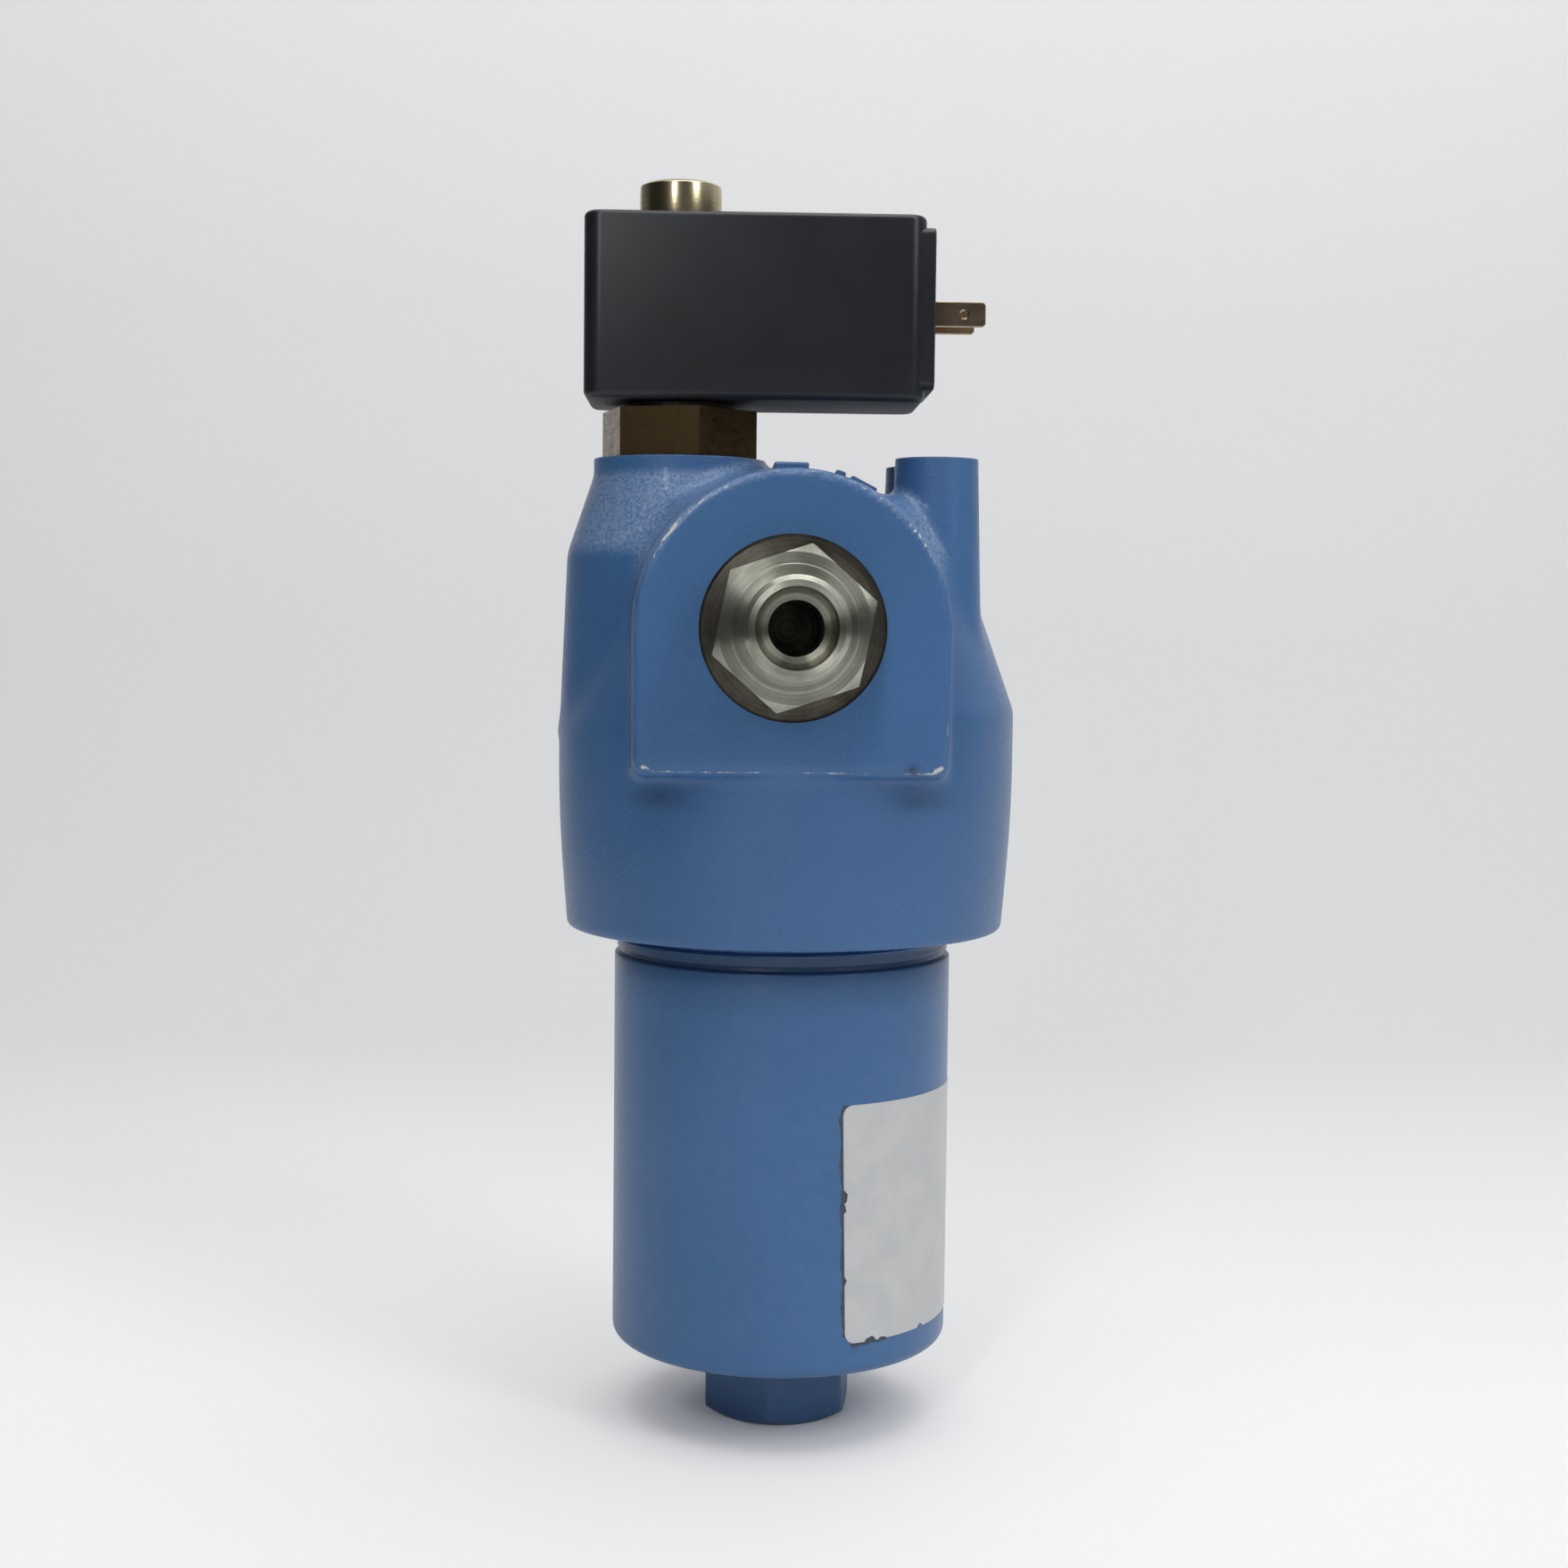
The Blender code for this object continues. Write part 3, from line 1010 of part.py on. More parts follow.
BODIES = {
    "head_body": ((0, 0, RIM_Z), [
        (filter_head, "blue_enamel"), (port_adapter, "plated_steel"), (port_adapter_seal, "nitrile_rubber"),
        (bypass_retaining_ring, "spring_steel"), (bypass_seat, "plated_steel"),
        (bypass_spring, "spring_steel"), (indicator_body, "brass"), (indicator_nose_o_ring, "nitrile_rubber"),
        (indicator_boss_o_ring, "nitrile_rubber"), (piston_stop_ring, "spring_steel"),
        (indicator_spring, "spring_steel"), (retaining_nut, "brass"),
    ]),
    "element_body": ((0, 0, BOWL_FLOOR_Z), [
        (element_top_cap, "tinplate"), (element_bottom_cap, "tinplate"),
        (element_pleats, "glass_fibre_medium"), (element_core_tube, "tinplate"),
        (element_o_ring, "nitrile_rubber"),
    ]),
    "bowl_body": ((0, 0, 0), [
        (filter_bowl, "blue_enamel"), (bowl_o_ring, "nitrile_rubber"), (bowl_backup_ring, "ptfe"),
    ]),
    "bypass_poppet_body": ((BYPASS_OFFSET, 0, POPPET_Z), [(bypass_poppet, "plated_steel")]),
    "piston_body": ((-INDICATOR_OFFSET, 0, PISTON_Z), [
        (indicator_piston, "plated_steel"), (indicator_magnet, "magnet_ferrite"),
    ]),
    "switch_body": ((-INDICATOR_OFFSET, 0, HOUSING_Z), [
        (switch_housing, "black_thermoplastic"), (connector_plate, "black_thermoplastic"),
        (contact_blades, "tinned_brass"), (reed_switch, "reed_glass"), (housing_gaskets, "nitrile_rubber"),
    ]),
}


def carry(thing, empty, finish):
    """Give a piece its material and hang it on the empty of its body without moving it."""
    colour, roughness, metallic = FINISHES[finish]
    thing.data.materials.append(make_material(thing.name + "_" + finish, colour, roughness, metallic))
    thing.parent = empty
    thing.matrix_parent_inverse = empty.matrix_world.inverted()


def build():
    for thing in list(bpy.data.objects):
        bpy.data.objects.remove(thing, do_unlink=True)
    for body_name, (origin, makers) in BODIES.items():
        empty = bpy.data.objects.new(body_name, None)
        empty.location = origin
        empty.empty_display_size = CAP_RIM_HEIGHT
        bpy.context.collection.objects.link(empty)
        bpy.context.view_layer.update()
        for maker, finish in makers:
            made = maker()
            for thing in made if isinstance(made, list) else [made]:
                carry(thing, empty, finish)


build()
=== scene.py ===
# %% [markdown]
# # An in-line oil filter
# A blue cast head carries a screw-in bowl below, a bright tube fitting in front and a black
# switch housing on a brass hexagon above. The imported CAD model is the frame: it says where every
# piece sits and what it moves with. This lesson dresses the pieces that show, one step at a time.
# Pieces are measured in millimetres until their mesh is made. Only the studio is in metres.

# %% Load the frame
import json
import math

import bmesh
import bpy
import numpy as np
from mathutils import Matrix, Vector


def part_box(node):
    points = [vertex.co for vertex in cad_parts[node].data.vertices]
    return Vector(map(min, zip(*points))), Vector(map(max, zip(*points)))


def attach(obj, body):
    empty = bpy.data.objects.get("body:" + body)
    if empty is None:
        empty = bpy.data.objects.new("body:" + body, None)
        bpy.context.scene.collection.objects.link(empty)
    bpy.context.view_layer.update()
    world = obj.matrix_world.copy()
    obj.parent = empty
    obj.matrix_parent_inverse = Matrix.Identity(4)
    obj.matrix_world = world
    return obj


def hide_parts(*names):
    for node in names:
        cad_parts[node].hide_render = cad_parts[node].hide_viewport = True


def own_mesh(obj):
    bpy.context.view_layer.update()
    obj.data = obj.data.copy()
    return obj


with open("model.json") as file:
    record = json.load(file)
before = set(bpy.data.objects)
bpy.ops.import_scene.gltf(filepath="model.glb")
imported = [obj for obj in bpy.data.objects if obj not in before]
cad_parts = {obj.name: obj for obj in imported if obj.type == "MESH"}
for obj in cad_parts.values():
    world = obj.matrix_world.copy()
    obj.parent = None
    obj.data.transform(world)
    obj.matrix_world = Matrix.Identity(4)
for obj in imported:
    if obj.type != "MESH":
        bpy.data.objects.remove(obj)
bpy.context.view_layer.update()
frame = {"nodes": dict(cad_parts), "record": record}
MM = 0.001
MOUNTS = {mount["name"]: Vector(mount["pos_m"]) / MM for mount in frame["record"]["mounts"]}

# %% [markdown]
# ## Camera
# The photograph was taken close up, with a slight downward tilt. The focal length in pixels, the
# distance and the tilt come from how the round rims turn into ellipses, so the camera is placed by
# these numbers and not by eye. The filter also stands a little turned and a little off plumb.

# %% Camera at the photograph's view
PHOTO_SIDE = 1757
FOCAL_PIXELS = 2565
SENSOR_WIDTH = 36
CAMERA_DISTANCE = 450
CAMERA_PITCH = math.radians(3.803)
OBJECT_TURN = math.radians(1.6)
OBJECT_LEAN = math.radians(0.65)
PORT_AXIS = MOUNTS["outlet_spot_face"].z
CAMERA_OFFSET = Vector((-0.334, -CAMERA_DISTANCE, -0.595))

stance = Matrix.Rotation(OBJECT_LEAN, 3, "Y") @ Matrix.Rotation(OBJECT_TURN, 3, "Z")
look = stance.transposed() @ Matrix.Rotation(math.pi / 2 - CAMERA_PITCH, 3, "X")
camera = bpy.data.objects.new("camera", bpy.data.cameras.new("camera"))
camera.data.sensor_width = SENSOR_WIDTH
camera.data.lens = SENSOR_WIDTH * FOCAL_PIXELS / PHOTO_SIDE
camera.matrix_world = look.to_4x4()
camera.location = (stance.transposed() @ CAMERA_OFFSET + Vector((0, 0, PORT_AXIS))) * MM
bpy.context.scene.collection.objects.link(camera)
bpy.context.scene.camera = camera
print("lens", round(camera.data.lens, 2), "mm")

# %% [markdown]
# ## Colours and nodes
# Colours are written as sRGB hex values, as a paint card would give them, and turned to linear
# light by one function. One more function adds a shader node, so that a material reads as a list
# of what it is made of. Pattern scales are given as the size of one feature in millimetres. Cutter
# marks, casting sand and moulding grain are finer than the picture can show, so they are drawn
# coarser than they are.


# %% Helpers for materials
def linear(colour):
    """Linear RGBA of an sRGB hex colour."""
    channels = []
    for start in (1, 3, 5):
        value = int(colour[start:start + 2], 16) / 255
        channels.append(value / 12.92 if value <= 0.04045 else ((value + 0.055) / 1.055) ** 2.4)
    return (*channels, 1)


def plug(tree, node, inputs):
    """Fill a node's inputs from numbers, colours, sockets or other nodes, whose first output is taken."""
    for name, value in inputs.items():
        if isinstance(value, bpy.types.Node):
            value = value.outputs[0]
        if isinstance(value, bpy.types.NodeSocket):
            tree.links.new(value, node.inputs[name])
        else:
            node.inputs[name].default_value = value
    return node


def add(tree, kind, inputs=None, **settings):
    """Add one shader node with these properties and inputs."""
    node = tree.nodes.new("ShaderNode" + kind)
    for name, value in settings.items():
        setattr(node, name, value)
    return plug(tree, node, inputs or {})


def finish(name, colour, roughness, metallic=0.0, **sockets):
    """A new material: returns it with its node tree, its shader and the coordinates on the piece."""
    material = bpy.data.materials.new(name)
    material.use_nodes = True
    tree = material.node_tree
    shader = tree.nodes["Principled BSDF"]
    plug(tree, shader, {"Base Color": linear(colour), "Roughness": roughness, "Metallic": metallic})
    plug(tree, shader, {socket.replace("_", " "): value for socket, value in sockets.items()})
    return material, tree, shader, add(tree, "TexCoord").outputs["Object"]


def grain(feature):
    """Texture scale for features of this many millimetres."""
    return 1 / (feature * MM)


print("a feature of 1 mm has the scale", grain(1))

# %% [markdown]
# ## Studio
# A pale sheet sweeps from the table up behind the filter, so that no horizon shows. A broad lamp
# hangs above and makes the shadow close round the foot. Two upright ones stand left and right of
# the camera; the bright bands on the brass nut show where. The room between them is dim, and
# darkest on the left, which gives bare metal its contrast.

# %% Sheet that sweeps up
SWEEP_SIDE = 12.0
FLOOR_FRONT = -12.0
FLOOR_BACK = 0.42
SWEEP_RADIUS = 0.5
SWEEP_STEPS = 24
WALL_HEIGHT = 3.0

profile = [(FLOOR_FRONT, 0.0), (FLOOR_BACK, 0.0)]
for step in range(1, SWEEP_STEPS + 1):
    bend = math.pi / 2 * step / SWEEP_STEPS
    profile.append((FLOOR_BACK + SWEEP_RADIUS * math.sin(bend), SWEEP_RADIUS * (1 - math.cos(bend))))
profile.append((FLOOR_BACK + SWEEP_RADIUS, WALL_HEIGHT))
points = [(side, y, z) for y, z in profile for side in (-SWEEP_SIDE, SWEEP_SIDE)]
strips = [(2 * i, 2 * i + 1, 2 * i + 3, 2 * i + 2) for i in range(len(profile) - 1)]
sweep_mesh = bpy.data.meshes.new("paper_sweep")
sweep_mesh.from_pydata(points, [], strips)
sweep_mesh.shade_smooth()
sweep = bpy.data.objects.new("paper_sweep", sweep_mesh)
bpy.context.scene.collection.objects.link(sweep)
print("sweep of", len(strips), "strips")

# %% [markdown]
# The sheet is matt paper. For the camera it is lifted a little, as in an overexposed background,
# but not close to the foot, where the shadow has to stay. Only the middle of the sheet is lit and
# reflected. Farther out it glows for the camera alone, so that the photograph's view shows no edge
# while the metal still mirrors dark sides.

# %% Matt paper
PAPER_COLOURS = ("#E9E9EB", "#F0F0F0")
GLOW_ENDS = ("#FFFFFF", "#FFFEFF")
# Between the ends the glow is painted darker over the back of the floor and the bend, as shade falls there.
GLOW_BETWEEN = ((0.26, "#CFD2D4"), (0.62, "#CDD0D2"), (0.82, "#E0E0E2"))
SWEEP_REACH = 1.5
SHADOW_NEAR, SHADOW_FAR = 0.016, 0.042
LIFT_NEAR, LIFT_FAR = 0.05, 0.42
LIT_LEFT, LIT_RIGHT, LIT_FRONT = -0.5, 1.1, -2.4
FADE_LEFT, FADE_RIGHT, FADE_FRONT = 0.2, 0.4, 0.4
GLOW_FRONT = -0.5

paper, tree, shader, place = finish("matt_paper", "#EDEDEE", 0.9, Specular_IOR_Level=0.1)
cloud = add(tree, "TexNoise", {"Vector": place, "Scale": grain(400), "Detail": 2.0})
tint = add(tree, "ValToRGB", {"Fac": cloud})
for stop, colour in zip(tint.color_ramp.elements, PAPER_COLOURS):
    stop.color = linear(colour)
plug(tree, shader, {"Base Color": tint})
axes = add(tree, "SeparateXYZ", {"Vector": place})
along = add(tree, "Math", {0: axes.outputs["Y"], 1: axes.outputs["Z"]}, operation="ADD")
reach = add(tree, "MapRange", {"Value": along, "From Max": SWEEP_REACH})
lift = add(tree, "ValToRGB", {"Fac": reach})
for stop, colour in zip(lift.color_ramp.elements, GLOW_ENDS):
    stop.color = linear(colour)
for position, colour in GLOW_BETWEEN:
    lift.color_ramp.elements.new(position).color = linear(colour)
glow = add(tree, "Emission", {"Color": lift, "Strength": 1.0})
camera_ray = add(tree, "LightPath").outputs["Is Camera Ray"]
away = add(tree, "VectorMath", {0: place}, operation="LENGTH").outputs["Value"]
amount = add(tree, "MapRange", {"Value": away, "From Min": SHADOW_NEAR, "From Max": SHADOW_FAR,
                                "To Min": LIFT_NEAR, "To Max": LIFT_FAR})
far = add(tree, "MapRange", {"Value": axes.outputs["Y"], "From Min": GLOW_FRONT, "From Max": LIT_FRONT})
most = add(tree, "Math", {0: amount, 1: far}, operation="MAXIMUM")
share = add(tree, "Math", {0: camera_ray, 1: most}, operation="MULTIPLY")
near_sheet = add(tree, "MixShader", {0: share, 1: shader, 2: glow})
far_sheet = add(tree, "MixShader", {0: camera_ray, 1: add(tree, "BsdfTransparent"), 2: glow})
lit = 1.0
for axis, dark, bright in (("X", LIT_LEFT - FADE_LEFT, LIT_LEFT), ("X", LIT_RIGHT + FADE_RIGHT, LIT_RIGHT),
                           ("Y", LIT_FRONT - FADE_FRONT, LIT_FRONT)):
    side = add(tree, "MapRange", {"Value": axes.outputs[axis], "From Min": dark, "From Max": bright})
    lit = add(tree, "Math", {0: lit, 1: side}, operation="MULTIPLY")
whole = add(tree, "MixShader", {0: lit, 1: far_sheet, 2: near_sheet})
plug(tree, tree.nodes["Material Output"], {"Surface": whole})
sweep_mesh.materials.append(paper)
print("sheet lit from", LIT_LEFT, "to", LIT_RIGHT, "m")

# %% Lamps
LAMPS = [
    ("top_softbox", (0.1, -0.15, 1.5), (1.4, 1.1), 15.0),
    ("front_left_strip", (-0.46, -1.43, 0.9), (0.13, 0.9), 6.2),
    ("front_right_strip", (0.98, -0.98, 1.05), (0.4, 1.1), 7.8),
]
AIM = Vector((0, 0, 0.12))
for name, where, size, power in LAMPS:
    lamp = bpy.data.lights.new(name, "AREA")
    lamp.shape = "RECTANGLE"
    lamp.size, lamp.size_y = size
    lamp.energy = power
    holder = bpy.data.objects.new(name, lamp)
    holder.location = where
    holder.rotation_euler = (AIM - Vector(where)).to_track_quat("-Z", "Y").to_euler()
    bpy.context.scene.collection.objects.link(holder)
print(len(LAMPS), "lamps")

# %% [markdown]
# The room is what bare metal mirrors: a pale wall behind, a window high on the right, and little
# on the left. The camera sees a plain pale grey past the sheet instead.

# %% Dim room
WALL_LEVELS = (0.07, 0.41)
WINDOW_LEVEL = 0.35
LEFT_SHARE = 0.35

world = bpy.data.worlds.new("dim_room")
world.use_nodes = True
bpy.context.scene.world = world
tree = world.node_tree
tree.nodes.clear()
toward = add(tree, "TexCoord").outputs["Generated"]
axes = add(tree, "SeparateXYZ", {"Vector": toward})
behind = add(tree, "MapRange", {"Value": axes.outputs["Y"], "From Min": 0.05, "From Max": 0.5,
                                "To Min": WALL_LEVELS[0], "To Max": WALL_LEVELS[1]})
right = add(tree, "MapRange", {"Value": axes.outputs["X"], "From Min": 0.5, "To Max": WINDOW_LEVEL})
raised = add(tree, "MapRange", {"Value": axes.outputs["Z"], "From Min": 0.12, "From Max": 0.3})
window = add(tree, "Math", {0: right, 1: raised}, operation="MULTIPLY")
left = add(tree, "MapRange", {"Value": axes.outputs["X"], "From Min": -0.8, "From Max": -0.2,
                              "To Min": LEFT_SHARE})
level = add(tree, "Math", {0: behind, 1: left, 2: window}, operation="MULTIPLY_ADD")
room = add(tree, "Background", {"Color": linear("#FBFBFD"), "Strength": level})
pale = add(tree, "Background", {"Color": linear("#E3E3E5"), "Strength": 1.0})
camera_ray = add(tree, "LightPath").outputs["Is Camera Ray"]
choice = add(tree, "MixShader", {0: camera_ray, 1: room, 2: pale})
add(tree, "OutputWorld", {"Surface": choice})
bpy.context.scene.view_settings.view_transform = "Standard"
print("room of", len(tree.nodes), "nodes")

# %% [markdown]
# ## Turning, threads and machining
# Nearly every metal piece here was made on a lathe, so one function spins rows of radius and
# height round an axis. A radius may change round the turn, which also gives threads and hexagons.
# Drilled holes and flats are then cut with Boolean operations, as a machine shop would.

# %% Closed meshes
SMOOTH_ANGLE = math.radians(28)
UPRIGHT = Matrix.Identity(4)


def shade(thing):
    """Smooth round sides and keep real edges sharp."""
    thing.data.shade_smooth()
    thing.data.set_sharp_from_angle(angle=SMOOTH_ANGLE)
    return thing


def solid(name, points, faces, place=UPRIGHT):
    """A closed mesh object from points in millimetres, with its faces turned outwards."""
    mesh = bpy.data.meshes.new(name)
    mesh.from_pydata([tuple(point) for point in np.asarray(points, float) * MM], [], faces)
    mesh.transform(place)
    bm = bmesh.new()
    bm.from_mesh(mesh)
    bmesh.ops.recalc_face_normals(bm, faces=bm.faces)
    bm.to_mesh(mesh)
    bm.free()
    thing = bpy.data.objects.new(name, mesh)
    bpy.context.scene.collection.objects.link(thing)
    return shade(thing)


print("edges sharper than", round(math.degrees(SMOOTH_ANGLE)), "degrees stay sharp")


# %% Turned and straight solids
def spun(name, rows, columns, start=0.0, place=UPRIGHT):
    """Spin rows of (radius, height) round Z, from axis to axis. A radius may be an array over the columns."""
    angle = start + np.arange(columns) * 2 * math.pi / columns
    points, rings = [], []
    for radius, height in rows:
        first = len(points)
        if np.isscalar(radius) and radius == 0:
            points.append((0, 0, height))
            rings.append([first])
            continue
        spread = np.broadcast_to(radius, columns)
        level = np.broadcast_to(height, columns)
        points += list(zip(spread * np.cos(angle), spread * np.sin(angle), level))
        rings.append(list(range(first, first + columns)))
    faces = []
    for low, high in zip(rings, rings[1:]):
        for column in range(columns):
            after = (column + 1) % columns
            corners = (low[column % len(low)], low[after % len(low)],
                       high[after % len(high)], high[column % len(high)])
            faces.append(tuple(dict.fromkeys(corners)))
    return solid(name, points, faces, place)


def prism(name, outline, low, high, place=UPRIGHT):
    """Straight piece with a flat outline, from low to high along Z."""
    count = len(outline)
    points = [(x, y, z) for z in (low, high) for x, y in outline]
    faces = [tuple(range(count)), tuple(range(count, 2 * count))]
    faces += [(i, (i + 1) % count, (i + 1) % count + count, i + count) for i in range(count)]
    return solid(name, points, faces, place)


print("solids can be spun or drawn straight")

# %% Rows for the lathe
THREAD_ROWS = 10
CREST_SHARE = 0.08
RUN_OUT = 4


def stepped(bottom, *steps):
    """Rows of a stepped round form: each step is a radius and the height where it ends."""
    rows = [(0, bottom)]
    for radius, top in steps:
        rows += [(radius, bottom), (radius, top)]
        bottom = top
    return rows + [(0, bottom)]


def thread_rows(crest, depth, pitch, bottom, top, columns, groove_at=0.5, flank=3.2):
    """Rows of a right-hand V thread that runs out at both ends; groove_at is its phase at the start."""
    turn = np.arange(columns) / columns
    rows = []
    count = round((top - bottom) / pitch * THREAD_ROWS)
    for row in range(count + 1):
        height = bottom + (top - bottom) * row / count
        phase = (height / pitch - turn - groove_at) % 1.0
        groove = np.clip(1.0 - (0.5 - np.abs(phase - 0.5) - CREST_SHARE) * flank, 0, 1)
        fade = min(1.0, row / RUN_OUT, (count - row) / RUN_OUT)
        rows.append((crest - depth * groove * fade, height))
    return rows


def rounded(centre, radius, start, end, steps):
    """Points of an arc in the (radius, height) plane, from start to end in degrees."""
    points = []
    for step in range(steps + 1):
        angle = math.radians(start + (end - start) * step / steps)
        points.append((centre[0] + radius * math.cos(angle), centre[1] + radius * math.sin(angle)))
    return points


print("a plain pin has", len(stepped(0, (1, 2))), "rows")

# %% Cutting
TO_FRONT = Matrix.Rotation(math.pi / 2, 4, "X")
TO_BACK = Matrix.Rotation(-math.pi / 2, 4, "X")
TO_RIGHT = Matrix.Rotation(math.pi / 2, 4, "Y")


def at(x=0, y=0, z=0):
    """Place of a piece whose own middle is moved by these millimetres."""
    return Matrix.Translation(Vector((x, y, z)) * MM)


def drill(name, radius, bottom, top, place, columns=64):
    """Plain round cutter."""
    return spun(name, stepped(bottom, (radius, top)), columns, place=place)


def combine(target, operation, *tools):
    """Apply Boolean tools to a piece one after another, and clear the tools away."""
    for tool in tools:
        step = target.modifiers.new(tool.name, "BOOLEAN")
        step.object = tool
        step.operation = operation
        step.solver = "MANIFOLD"
    bpy.context.view_layer.update()
    graph = bpy.context.evaluated_depsgraph_get()
    result = bpy.data.meshes.new_from_object(target.evaluated_get(graph))
    target.modifiers.clear()
    target.data = result
    for tool in tools:
        bpy.data.objects.remove(tool)
    return shade(target)


print("the front is at", [round(value) for value in TO_FRONT @ Vector((0, 0, 1))])


# %% Dressing
def note(thing, name, values):
    """Write one value at each vertex, for a material to read."""
    values = np.asarray(values, np.float32)
    thing.data.attributes.new(name, "FLOAT", "POINT").data.foreach_set("value", values)


def dress(thing, material, body, node):
    """Give a piece its material, and let it stand for a CAD node on that node's body."""
    thing.data.materials.clear()
    thing.data.materials.append(material)
    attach(thing, body)
    if node:
        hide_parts(node)
    print(thing.name, len(thing.data.polygons), "faces")
    return thing


# %% [markdown]
# ## Blue enamel
# Head and bowl are sprayed with one blue enamel after casting and turning. The film is half
# glossy under a thin clear skin, with a fine orange peel; on the rough casting the sand texture
# still shows through. Dust lies in that texture on the upper slopes, and its paleness there also
# paints the sheen of light. Where a sharp edge has been knocked, pale primer shows in short chips,
# which on the arch's shoulders also paint a highlight. Values at the vertices say where: wear for
# those edges, dust with painted sheen for the slopes, grime with painted shade for the dark grooves
# and pockets, and machined for the faces that were milled smooth.

# %% Enamel material
# The dust colour also paints the sheen of light on upward slopes.
DUST_AND_SHEEN_COLOUR = "#A3B3CC"
PRIMER_COLOUR = "#C6C8C2"
BARE_COLOUR = "#4E4137"
# The grime colour also paints shade in pockets, grooves and under overhangs.
GRIME_AND_SHADE_COLOUR = "#18222F"
DEEPEST_DUST_AND_SHEEN = 0.62
PEEL_SIZE, PEEL_HEIGHT = 0.9, 0.03
CHIP_SIZE = 3.2
CHIP_FROM, CHIP_TO = 0.3, 0.37
CORE_FROM, CORE_TO = 0.56, 0.6
SAND_RELIEF, MILLED_RELIEF = 0.6, 0.1
GLOSSIEST = 0.29


def enamel(name, dark, light, texture, texture_height, mottle, roughest):
    """Sprayed enamel over a surface with the given texture size and height in millimetres."""
    # Broad noise shifts the blue a little, as a hand-sprayed film does.
    material, tree, shader, place = finish(name, light, 0.38, Specular_IOR_Level=0.36, Coat_Weight=0.17,
                                           Coat_Roughness=0.12)
    broad = add(tree, "TexNoise", {"Vector": place, "Scale": grain(30), "Detail": 3.0})
    shades = add(tree, "ValToRGB", {"Fac": broad})
    for stop, position, colour in zip(shades.color_ramp.elements, (0.3, 0.72), (dark, light)):
        stop.position = position
        stop.color = linear(colour)

    # Dust pales the grain of the texture, and on upward slopes the same pale mix paints a sheen of light.
    skin = add(tree, "TexNoise", {"Vector": place, "Scale": grain(texture), "Detail": 4.0, "Roughness": 0.6})
    caught = add(tree, "MapRange", {"Value": skin, "From Min": 0.3, "From Max": 0.7})
    upward = add(tree, "Attribute", attribute_name="dust_and_sheen").outputs["Fac"]
    dust_and_sheen_level = add(tree, "MapRange", {"Value": upward, "To Min": mottle, "To Max": DEEPEST_DUST_AND_SHEEN})
    dust_and_sheen = add(tree, "Math", {0: caught, 1: dust_and_sheen_level}, operation="MULTIPLY")
    paint = add(tree, "Mix", {0: dust_and_sheen, 6: shades, 7: linear(DUST_AND_SHEEN_COLOUR)}, data_type="RGBA").outputs[2]

    # Chips show primer, the deepest ones bare iron, and grime with painted shade darkens what it covers.
    wear_and_highlight = add(tree, "Attribute", attribute_name="wear_and_highlight").outputs["Fac"]
    patch = add(tree, "TexNoise", {"Vector": place, "Scale": grain(CHIP_SIZE), "Detail": 5.0,
                                   "Roughness": 0.7})
    worn = add(tree, "Math", {0: patch, 1: wear_and_highlight}, operation="MULTIPLY")
    chip = add(tree, "MapRange", {"Value": worn, "From Min": CHIP_FROM, "From Max": CHIP_TO})
    core = add(tree, "MapRange", {"Value": worn, "From Min": CORE_FROM, "From Max": CORE_TO})
    grime_and_shade = add(tree, "Attribute", attribute_name="grime_and_shade").outputs["Fac"]
    for share, colour in ((chip, PRIMER_COLOUR), (core, BARE_COLOUR), (grime_and_shade, GRIME_AND_SHADE_COLOUR)):
        paint = add(tree, "Mix", {0: share, 6: paint, 7: linear(colour)}, data_type="RGBA").outputs[2]

    # Orange peel breaks the gloss up, and the surface below gives the relief.
    fine = add(tree, "TexNoise", {"Vector": place, "Scale": grain(PEEL_SIZE), "Detail": 2.0})
    gloss = add(tree, "MapRange", {"Value": fine, "To Min": GLOSSIEST, "To Max": roughest})
    peel = add(tree, "Bump", {"Height": fine, "Strength": 0.35, "Distance": PEEL_HEIGHT * MM})
    milled = add(tree, "Attribute", attribute_name="machined").outputs["Fac"]
    rough = add(tree, "MapRange", {"Value": milled, "To Min": SAND_RELIEF, "To Max": MILLED_RELIEF})
    relief = add(tree, "Bump", {"Height": skin, "Strength": rough, "Distance": texture_height * MM,
                                "Normal": peel})
    plug(tree, shader, {"Base Color": paint, "Roughness": gloss, "Normal": relief})
    return material


# Sand cast: a close, sparkling grain.
cast_enamel = enamel("blue_enamel_on_casting", "#356090", "#3B6596", 0.6, 0.2, 0.04, 0.5)
# Turned: a smooth film with slow waves in its highlights.
turned_enamel = enamel("blue_enamel_on_turned_steel", "#386393", "#3E699A", 2.6, 0.03, 0.03, 0.42)
print("enamels:", cast_enamel.name, "and", turned_enamel.name)

# %% [markdown]
# ## Bare machined steel
# The port's spot face was cut after painting. It is dull grey-brown steel with fine rings from
# the cutter. The same rings, brighter, show on the turned and zinc-plated tube fitting. Rings are
# a pattern of distance from the axis, so one function serves both, whatever the axis.


